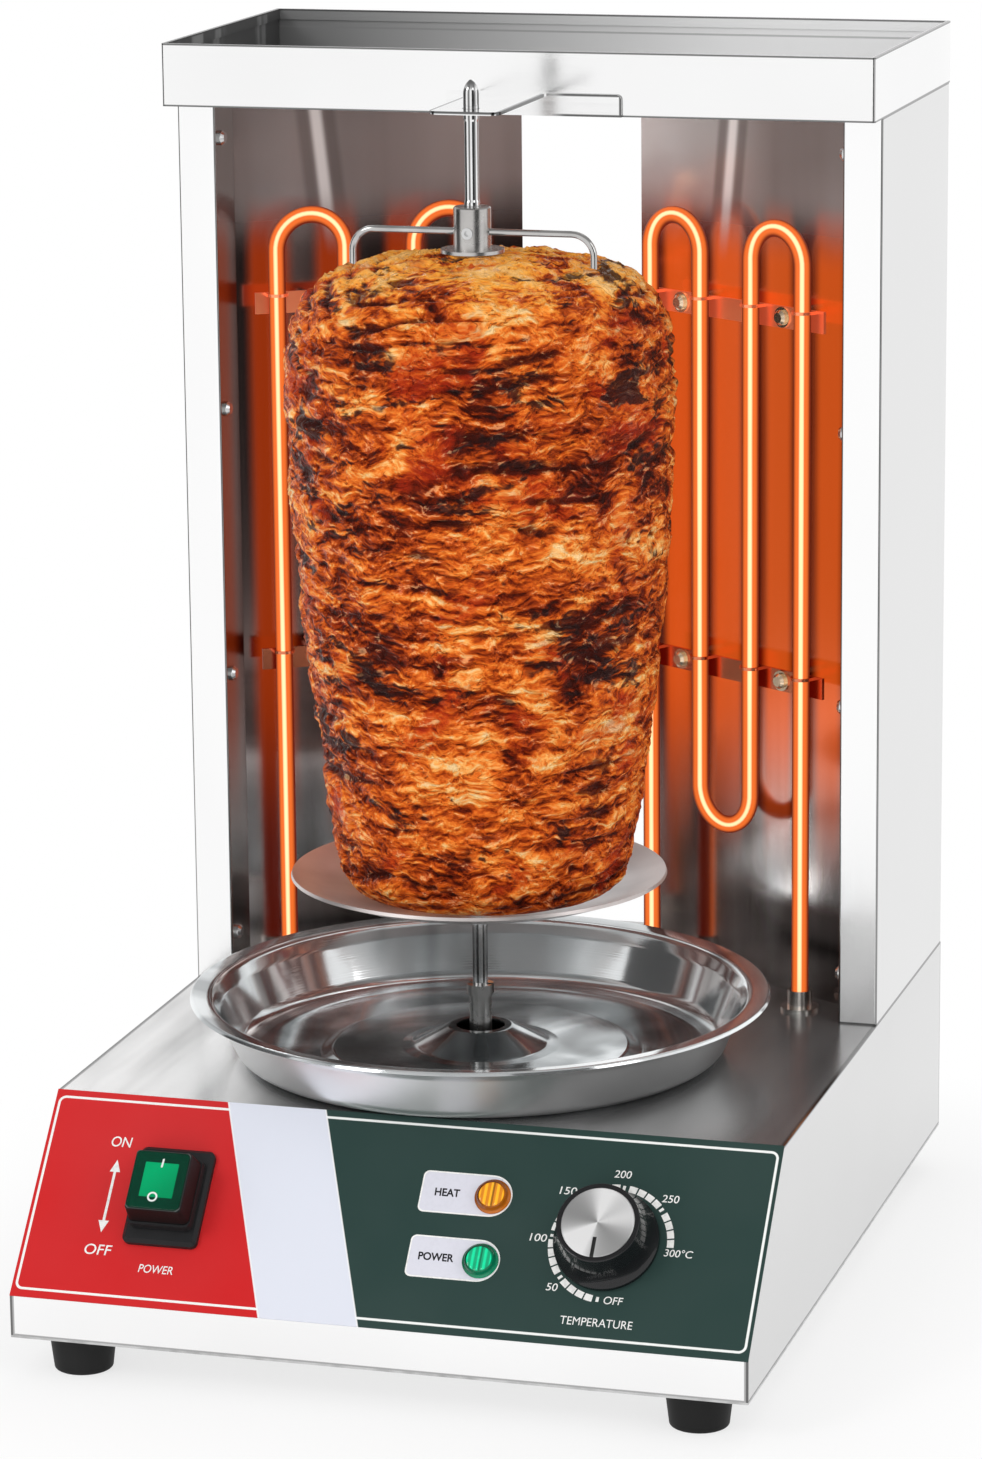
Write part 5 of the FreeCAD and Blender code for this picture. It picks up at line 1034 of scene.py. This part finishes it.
# The boxes are half a width, half a height and a corner's radius, in mm.
switchSet = {"across": -102.0, "down": 48.0, "top": (12.4, 13.6, 2.6), "rim": (12.6, 13.8, 2.8),
             "window": (7.6, 8.1, 0.4), "windowMoved": (0.4, -0.2), "bar": (0.42, 2.1, 0.4), "barDown": -8.2,
             "ringPlace": (-0.9, 7.8), "ringRadius": 1.9, "rocker": (7.4, 7.9, 0.6),
             "frame": ((0.002, 0.060, 0.030), (0.001, 0.03, 0.016)),
             "lit": ((0.0, 0.34, 0.125), (0.0, 0.22, 0.08)), "glow": (0.0, 0.16, 0.06),
             "boot": (0.007, 0.007, 0.007), "mark": (0.88, 0.90, 0.88), "rimHighlight": (0.16, 0.19, 0.18)}


def switchPlace(place):  # across and down from the middle of the switch, in mm
    return split(place)[0] * 1000 - switchSet["across"], panelDown(place) - switchSet["down"]


def capFinish():  # a black boot with a clear green top, its lit window, a bar and a ring, and a painted highlight round the top's rim
    material, wire = newFinish("switch_cap_clear")
    place = placeOn(wire)
    lookOut = along(facing(wire), slopeOut)
    across, down = switchPlace(place)
    top = rise(lookOut, 0.72, 0.9) * rise(roundedBox(across, down, *switchSet["top"]), 0.0, -0.5)
    soft = cloud(place, 90.0, 3.0)
    aside, below = switchSet["windowMoved"]
    window = rise(roundedBox(across - aside, down - below, *switchSet["window"]), 0.15, -0.15) * top
    bar = rise(roundedBox(across + down * 0.06, down - switchSet["barDown"], *switchSet["bar"]), 0.12, -0.12)
    ringAcross, ringDown = switchSet["ringPlace"]
    ring = abs(reach(across - ringAcross, down - ringDown) - switchSet["ringRadius"])
    mark = most(bar, rise(ring, 0.5, 0.3)) * top
    lit = blendColour(*switchSet["lit"], rise(across + down, -10, 14))
    colour = blendColour(switchSet["boot"], blendColour(*switchSet["frame"], soft), top)
    colour = blendColour(blendColour(colour, lit, window), switchSet["mark"], mark)
    # Painted highlight: a paler line round the edge of the clear top.
    rim = rise(abs(roundedBox(across, down, *switchSet["rim"])), 0.3, 0.05) * rise(lookOut, 0.5, 0.8)
    colour = blendColour(colour, switchSet["rimHighlight"], rim * 0.6)
    glowing = blendColour((0, 0, 0), switchSet["glow"], window * (1 - mark))
    endFinish(wire, Base_Color=colour, Roughness=0.42 - 0.28 * top + 0.06 * (soft - 0.5),
              Alpha=1 - 0.12 * top, Normal=relief(soft, 0.00005, 0.2), Specular_IOR_Level=0.16,
              Emission_Color=glowing, Emission_Strength=0.5)
    return material


def rockerFinish():  # the rocker under the boot, green with a paler middle
    material, wire = newFinish("rocker_lit")
    place = placeOn(wire)
    across, down = switchPlace(place)
    soft = cloud(place, 120.0, 3.0)
    middle = rise(roundedBox(across, down, *switchSet["rocker"]), 0.4, -0.4)
    paler = blendColour((0.0, 0.36, 0.15), (0.0, 0.50, 0.22), soft)
    endFinish(wire, Base_Color=blendColour((0.004, 0.05, 0.026), paler, middle), Roughness=0.3 + 0.1 * soft)
    return material


# The profile's points are a radius and a height above the panel's steel, in mm.
lensSet = {"across": 42.0, "columns": 72, "pitch": 2.7, "ribHeight": 0.18, "ribEdge": 5.5,
           "profile": [(8.0, 0.6), (8.0, 1.15), (7.75, 1.4), (7.3, 1.5), (6.9, 2.0), (6.6, 3.0), (6.4, 3.75),
                       (6.15, 4.0), (5.9, 3.75), (5.7, 3.4), (5.4, 3.6), (4.6, 3.65), (3.8, 3.7), (3.0, 3.7),
                       (2.2, 3.7), (1.4, 3.7), (0.7, 3.7), (0.0, 3.7)]}


# A lamp lens: rings of points from the rim, up the shoulder to the flat face, where the
# height rises and falls in bars that run down the slope, and in to the middle.
def lensSurface(down):
    ring = np.array(lensSet["profile"])
    radius = ring[:, :1]
    angle = np.arange(lensSet["columns"]) / lensSet["columns"] * 2 * math.pi
    x = radius * np.cos(angle)
    y = radius * np.sin(angle)
    ribs = lensSet["ribHeight"] * np.cos(x / lensSet["pitch"] * 2 * math.pi)
    ribs = ribs * (radius < lensSet["ribEdge"]) * (radius > 0.1)
    points = np.stack([lensSet["across"] + x, down + y, ring[:, 1:] + ribs], -1)
    return onPanel(points.reshape(-1, 3)).reshape(points.shape)


def lensFinish(name, down, deep, bright, core):  # tinted, brightest along the ribs of the flat face, with a painted highlight towards the lower right and the rim
    material, wire = newFinish(name)
    place = placeOn(wire)
    x = split(place)[0] * 1000 - lensSet["across"]
    y = panelDown(place) - down
    radius = reach(x, y)
    ribs = rise(x.sum("COSINE", x / lensSet["pitch"] * 2 * math.pi), -0.6, 0.8)
    soft = cloud(place, 260.0, 3.0)
    disc = rise(radius, 5.75, 5.45)
    # Painted highlight: paler towards the lower right of the lens and towards its rim.
    lit = rise(x * 0.8 + y * 0.6, -4.0, 6.0)
    colour = blendColour(deep, bright, rise(radius, 6.2, 7.6) * 0.3 + 0.55 * lit + 0.1 * soft)
    colour = blendColour(colour, blendColour(bright, core, ribs * 0.75 + 0.25 * soft), disc)
    colour = blendColour(colour, deep, rise(abs(x - 0.7), 0.55, 0.3) * disc * 0.85)
    glowing = blendColour((0, 0, 0), core, disc * (0.25 + 0.3 * ribs))
    endFinish(wire, Base_Color=colour, Roughness=0.2 + 0.1 * soft, Normal=relief(soft, 0.00005, 0.3),
              Coat_Weight=0.4, Coat_Roughness=0.04, Specular_IOR_Level=0.3,
              Emission_Color=glowing, Emission_Strength=0.5)
    return material


# How far down each lens stands, its slot, and its deep, bright and core colours.
lampLensSet = {"heat": (34.5, "amber_lens", (0.10, 0.018, 0.001), (0.60, 0.16, 0.004), (0.93, 0.44, 0.012)),
               "power": (64.5, "green_lens", (0.0, 0.045, 0.02), (0.0, 0.26, 0.12), (0.0, 0.68, 0.32))}
for word, (down, slot, deep, bright, core) in lampLensSet.items():
    mesh = meshGrid("lens_" + word, lensSurface(down))
    glass = lensFinish("lens_finish_" + word, down, deep, bright, core)
    addPiece("lens_" + word, mesh, "base", glass, [word + "_lamp_lens"])


# The waves of the painted reflection's fan: how many times each goes round, its start and its strength.
capSet = {"across": 95.6, "down": 50.6, "reflectionFan": ((2, 1.9, 0.28), (3, -0.6, 0.14), (5, 1.0, 0.06)),
          "pointerHalf": (0.95, 0.75), "pointerFrom": (6.6, 6.9)}


def spunCap():  # fine turning rings, with a painted reflection: the fan of light and shade that spun metal shows
    material, wire = newFinish("knob_cap_spun")
    place = placeOn(wire)
    x = split(place)[0] * 1000 - capSet["across"]
    y = panelDown(place) - capSet["down"]
    angle = x.sum("ARCTAN2", y, x)
    rings = cloud(join(reach(x, y) * 9.0, 0.5, 0.5), 1.0, 3.0)
    tone = 0.5 + 0.08 * (rings - 0.5)
    for times, start, strength in capSet["reflectionFan"]:
        tone = tone + x.sum("COSINE", times * angle + start) * strength
    shade = colourRun(tone, [(0.1, grey(0.26)), (0.45, grey(0.58)), (0.72, grey(1.0))])
    pointer = rise(abs(x), *capSet["pointerHalf"]) * rise(y, *capSet["pointerFrom"])
    shade = blendColour(shade, (0.01, 0.01, 0.01), pointer)
    endFinish(wire, Base_Color=shade, Metallic=0.6 - 0.6 * pointer, Roughness=0.3 + 0.1 * (rings - 0.5),
              Normal=relief(rings, 0.00003, 0.5))
    return material


print("switch, lamps and knob")


def dress(material, *names):
    for name in names:
        mesh = nodes[name].data
        if not mesh.materials:
            mesh.materials.append(material)
        for index in range(len(mesh.materials)):
            mesh.materials[index] = material


dress(hoodSteel(), "top_hood")
dress(baseSteel(), "base_wrap")
dress(coverSteel("cover_steel_left", "side_cover_left"), "side_cover_left")
dress(coverSteel("cover_steel_right", "side_cover_right"), "side_cover_right")
# The right base side has a darker tone than the left: painted shade on that side face.
dress(paleSteel("base_side_steel_left", "base_side_left", 0.8), "base_side_left")
dress(paleSteel("base_side_steel_right", "base_side_right", 0.68), "base_side_right")
dress(bracketSteel(), "skewer_bracket")
dress(paleSteel("rear_steel_left", "rear_cover_left", 0.8), "rear_cover_left")
dress(paleSteel("rear_steel_right", "rear_cover_right", 0.8), "rear_cover_right")
dress(reflectorSteel("reflector_steel_left", -1), "reflector_left")
dress(reflectorSteel("reflector_steel_right", 1), "reflector_right")
# The clips' warm tint, held-back green and the upper clips' faint glow are the heaters' glow, painted in.
dress(polishedSteel("clip_steel", tone=0.95, rough=0.3, warm=0.5, green=0.36, heat=0.26),
      "clip_strip_upper_left", "clip_strip_upper_right")
dress(polishedSteel("clip_steel_low", tone=0.5, rough=0.2, warm=0.5, green=0.45),
      "clip_strip_lower_left", "clip_strip_lower_right", "clip_spacers")
dress(polishedSteel("screw_steel", tone=0.66, rough=0.2), "foot_screws", "reflector_screws",
      "rear_cover_screws", "motor_screws", "hub_screw", "fork_screw")
dress(brightRod("rod_steel"), "skewer_rod", "drive_shaft")
dress(polishedSteel("hub_steel", tone=0.52, rough=0.27, warm=0.03), "fork_hub", "plate_hub", "drive_socket")
dress(polishedSteel("prong_steel", tone=0.55, rough=0.12, warm=0.02), "fork_prongs")
dress(polishedSteel("ferrule_steel", tone=0.92, rough=0.24, warm=0.06), "element_ferrules")
dress(polishedSteel("clip_screw_steel", tone=0.7, rough=0.2, warm=0.3), "clip_screws")
dress(zincSheet("bottom_zinc", tone=0.5), "bottom_plate", "motor_bracket", "thermostat_body")
dress(zincSheet("motor_zinc", tone=0.4), "gear_motor")
dress(brassOf("spindle_brass"), "knob_spindle", "deck_bush")
dress(plasticOf("foot_rubber", (0.011, 0.011, 0.011), rough=0.55, speck=500.0),
      "foot_front_left", "foot_front_right", "foot_rear_left", "foot_rear_right")
dress(plasticOf("switch_black", (0.014, 0.014, 0.015), rough=0.36), "switch_frame", "switch_body")
dress(plasticOf("gland_black", (0.02, 0.02, 0.02), rough=0.45), "cable_gland")
dress(plasticOf("lamp_housing", (0.6, 0.6, 0.55), rough=0.5), "heat_lamp_body", "power_lamp_body")
dress(plasticOf("terminal_white", (0.75, 0.75, 0.72), rough=0.5), "terminal_block")
dress(plasticOf("knob_black", (0.004, 0.004, 0.005), rough=0.22, coat=0.6), "knob_body")
dress(printedPanel(), "control_overlay")
dress(capFinish(), "switch_cap")
dress(rockerFinish(), "power_rocker")
dress(spunCap(), "knob_cap")
print("packed nodes dressed")


# The shadow fades from near to far, measured from the base's rounded outline on the floor.
studioSet = {"floorHalf": 14.0, "floorTone": 0.97, "outline": (0.165, 0.2, 0.02), "near": 0.01, "far": 0.15,
             "lift": 0.7, "world": 0.78, "ceiling": 0.4, "overhead": (0.25, 0.7)}


def rayOf(wire, kind):
    return wire.node("ShaderNodeLightPath", None, None, kind)


def seenDirect(wire):  # 1 for what the camera sees itself, in a mirror or through glass
    direct = most(rayOf(wire, "Is Camera Ray"), rayOf(wire, "Is Glossy Ray"))
    return most(direct, rayOf(wire, "Is Transmission Ray"))


def studioFloor():  # takes the object's shadow near it, and turns plain white further out
    material, wire = newFinish("studio_floor")
    place = placeOn(wire)
    x, y = split(place)[:2]
    far = rise(roundedBox(x, y, *studioSet["outline"]), studioSet["near"], studioSet["far"])
    soft = cloud(place, 3.0, 2.0)
    tone = blendColour(grey(studioSet["floorTone"] * 0.995), grey(studioSet["floorTone"]), soft)
    paper = wire.node("ShaderNodeBsdfDiffuse", None, {"Color": tone})
    white = wire.node("ShaderNodeEmission", None, {"Color": (1, 1, 1), "Strength": 1.0})
    share = seenDirect(wire) * (studioSet["lift"] + (1 - studioSet["lift"]) * far)
    mixed = wire.node("ShaderNodeMixShader", None, {0: share, 1: paper, 2: white})
    wire.node("ShaderNodeOutputMaterial", None, {"Surface": mixed})
    return material


half = studioSet["floorHalf"]
corners = [(-half, -half, 0), (half, -half, 0), (half, half, 0), (-half, half, 0)]
floorMesh = bpy.data.meshes.new("floor")
floorMesh.from_pydata(corners, [], [(0, 1, 2, 3)])
floorMesh.materials.append(studioFloor())
floor = bpy.data.objects.new("floor", floorMesh)
bpy.context.scene.collection.objects.link(floor)

world = bpy.data.worlds.new("studio")
world.use_nodes = True
world.node_tree.nodes.clear()
bpy.context.scene.world = world
air = Wire(world.node_tree)
height = split(air.node("ShaderNodeTexCoord", None, None, "Generated"))[2]
overhead = rise(height, *studioSet["overhead"]) * rayOf(air, "Is Glossy Ray")
bright = (1 - overhead) + overhead * studioSet["ceiling"]  # metal sees a dimmer ceiling
sky = air.node("ShaderNodeBackground", None, {"Color": (1, 1, 1), "Strength": bright})
fill = air.node("ShaderNodeBackground", None, {"Color": (1, 1, 1), "Strength": studioSet["world"]})
mixed = air.node("ShaderNodeMixShader", None, {0: seenDirect(air), 1: fill, 2: sky})
air.node("ShaderNodeOutputWorld", None, {"Surface": mixed})

# Each lamp's place, size and power. All point at the middle of the grill.
lampSet = {"key": ((-1.5, -2.1, 1.9), 0.8, 15.0), "front": ((0.2, -2.5, 0.45), 1.0, 9.0),
           "side": ((2.3, -1.0, 1.5), 1.4, 8.0), "back": ((0.2, 1.7, 2.2), 1.4, 7.0)}
lampAim = Vector((0, 0, 0.28))
for word, (spot, size, power) in lampSet.items():
    lamp = bpy.data.lights.new("lamp_" + word, "AREA")
    lamp.size, lamp.energy = size, power
    holder = bpy.data.objects.new("lamp_" + word, lamp)
    turn = (lampAim - Vector(spot)).to_track_quat("-Z", "Y").to_matrix()
    holder.matrix_world = Matrix.Translation(spot) @ turn.to_4x4()
    holder.visible_glossy = word != "front"
    bpy.context.scene.collection.objects.link(holder)

# The heaters' glow is kept off the tray and the deck.
shaded = bpy.data.collections.new("heater_shade")
for piece in (bpy.data.objects["tray_dish"], nodes["base_wrap"]):
    shaded.objects.link(piece)
for member in shaded.collection_objects:
    member.light_linking.link_state = "EXCLUDE"
for source in bars + [nodes["reflector_left"], nodes["reflector_right"]]:
    source.light_linking.receiver_collection = shaded
roast.visible_glossy = False  # the polished dish mirrors the room and not the meat

# Two dark boards that only polished metal sees, as a studio stands them beside the set. Each
# has a place, a width and a top, and faces the grill.
flagSet = {"right": ((0.66, -0.68), 0.55, 0.9), "left": ((-0.92, -0.2), 0.6, 0.9), "tone": 0.03, "foot": 0.01}


def flagBoard(word):
    (x, y), width, top = flagSet[word]
    away = np.array([x, y]) / math.hypot(x, y)
    side = np.array([-away[1], away[0]]) * width / 2
    near, far = (x - side[0], y - side[1]), (x + side[0], y + side[1])
    foot = flagSet["foot"]
    mesh = bpy.data.meshes.new("flag_" + word)
    mesh.from_pydata([(*near, foot), (*far, foot), (*far, top), (*near, top)], [], [(0, 1, 2, 3)])
    material, wire = newFinish("flag_" + word)
    dark = wire.node("ShaderNodeEmission", None, {"Color": grey(flagSet["tone"]), "Strength": 1.0})
    wire.node("ShaderNodeOutputMaterial", None, {"Surface": dark})
    mesh.materials.append(material)
    board = bpy.data.objects.new("flag_" + word, mesh)
    bpy.context.scene.collection.objects.link(board)
    board.visible_camera = board.visible_diffuse = board.visible_transmission = board.visible_shadow = False


flagBoard("right")
flagBoard("left")

# The camera's place in metres, its turns in radians, its lens and sensor height in millimetres.
cameraSet = {"spot": (0.64764, -2.21969, 0.80020), "yaw": 0.28507, "pitch": 0.23216, "roll": -0.01011,
             "lens": 129.55, "sensor": 36, "farthest": 60}
yaw, pitch, roll = cameraSet["yaw"], cameraSet["pitch"], cameraSet["roll"]
ahead = Vector((-math.sin(yaw) * math.cos(pitch), math.cos(yaw) * math.cos(pitch), -math.sin(pitch)))
level = Vector((math.cos(yaw), math.sin(yaw), 0))
upright = level.cross(ahead)
right = math.cos(roll) * level + math.sin(roll) * upright
upward = math.cos(roll) * upright - math.sin(roll) * level
view = bpy.data.cameras.new("camera")
view.lens, view.clip_end = cameraSet["lens"], cameraSet["farthest"]
view.sensor_fit, view.sensor_height = "VERTICAL", cameraSet["sensor"]
camera = bpy.data.objects.new("camera", view)
turn = Matrix((right, upward, -ahead)).transposed()
camera.matrix_world = Matrix.Translation(cameraSet["spot"]) @ turn.to_4x4()
bpy.context.scene.collection.objects.link(camera)
bpy.context.scene.camera = camera
bpy.context.scene.view_settings.view_transform = "Standard"
print("studio")

bpy.context.view_layer.update()
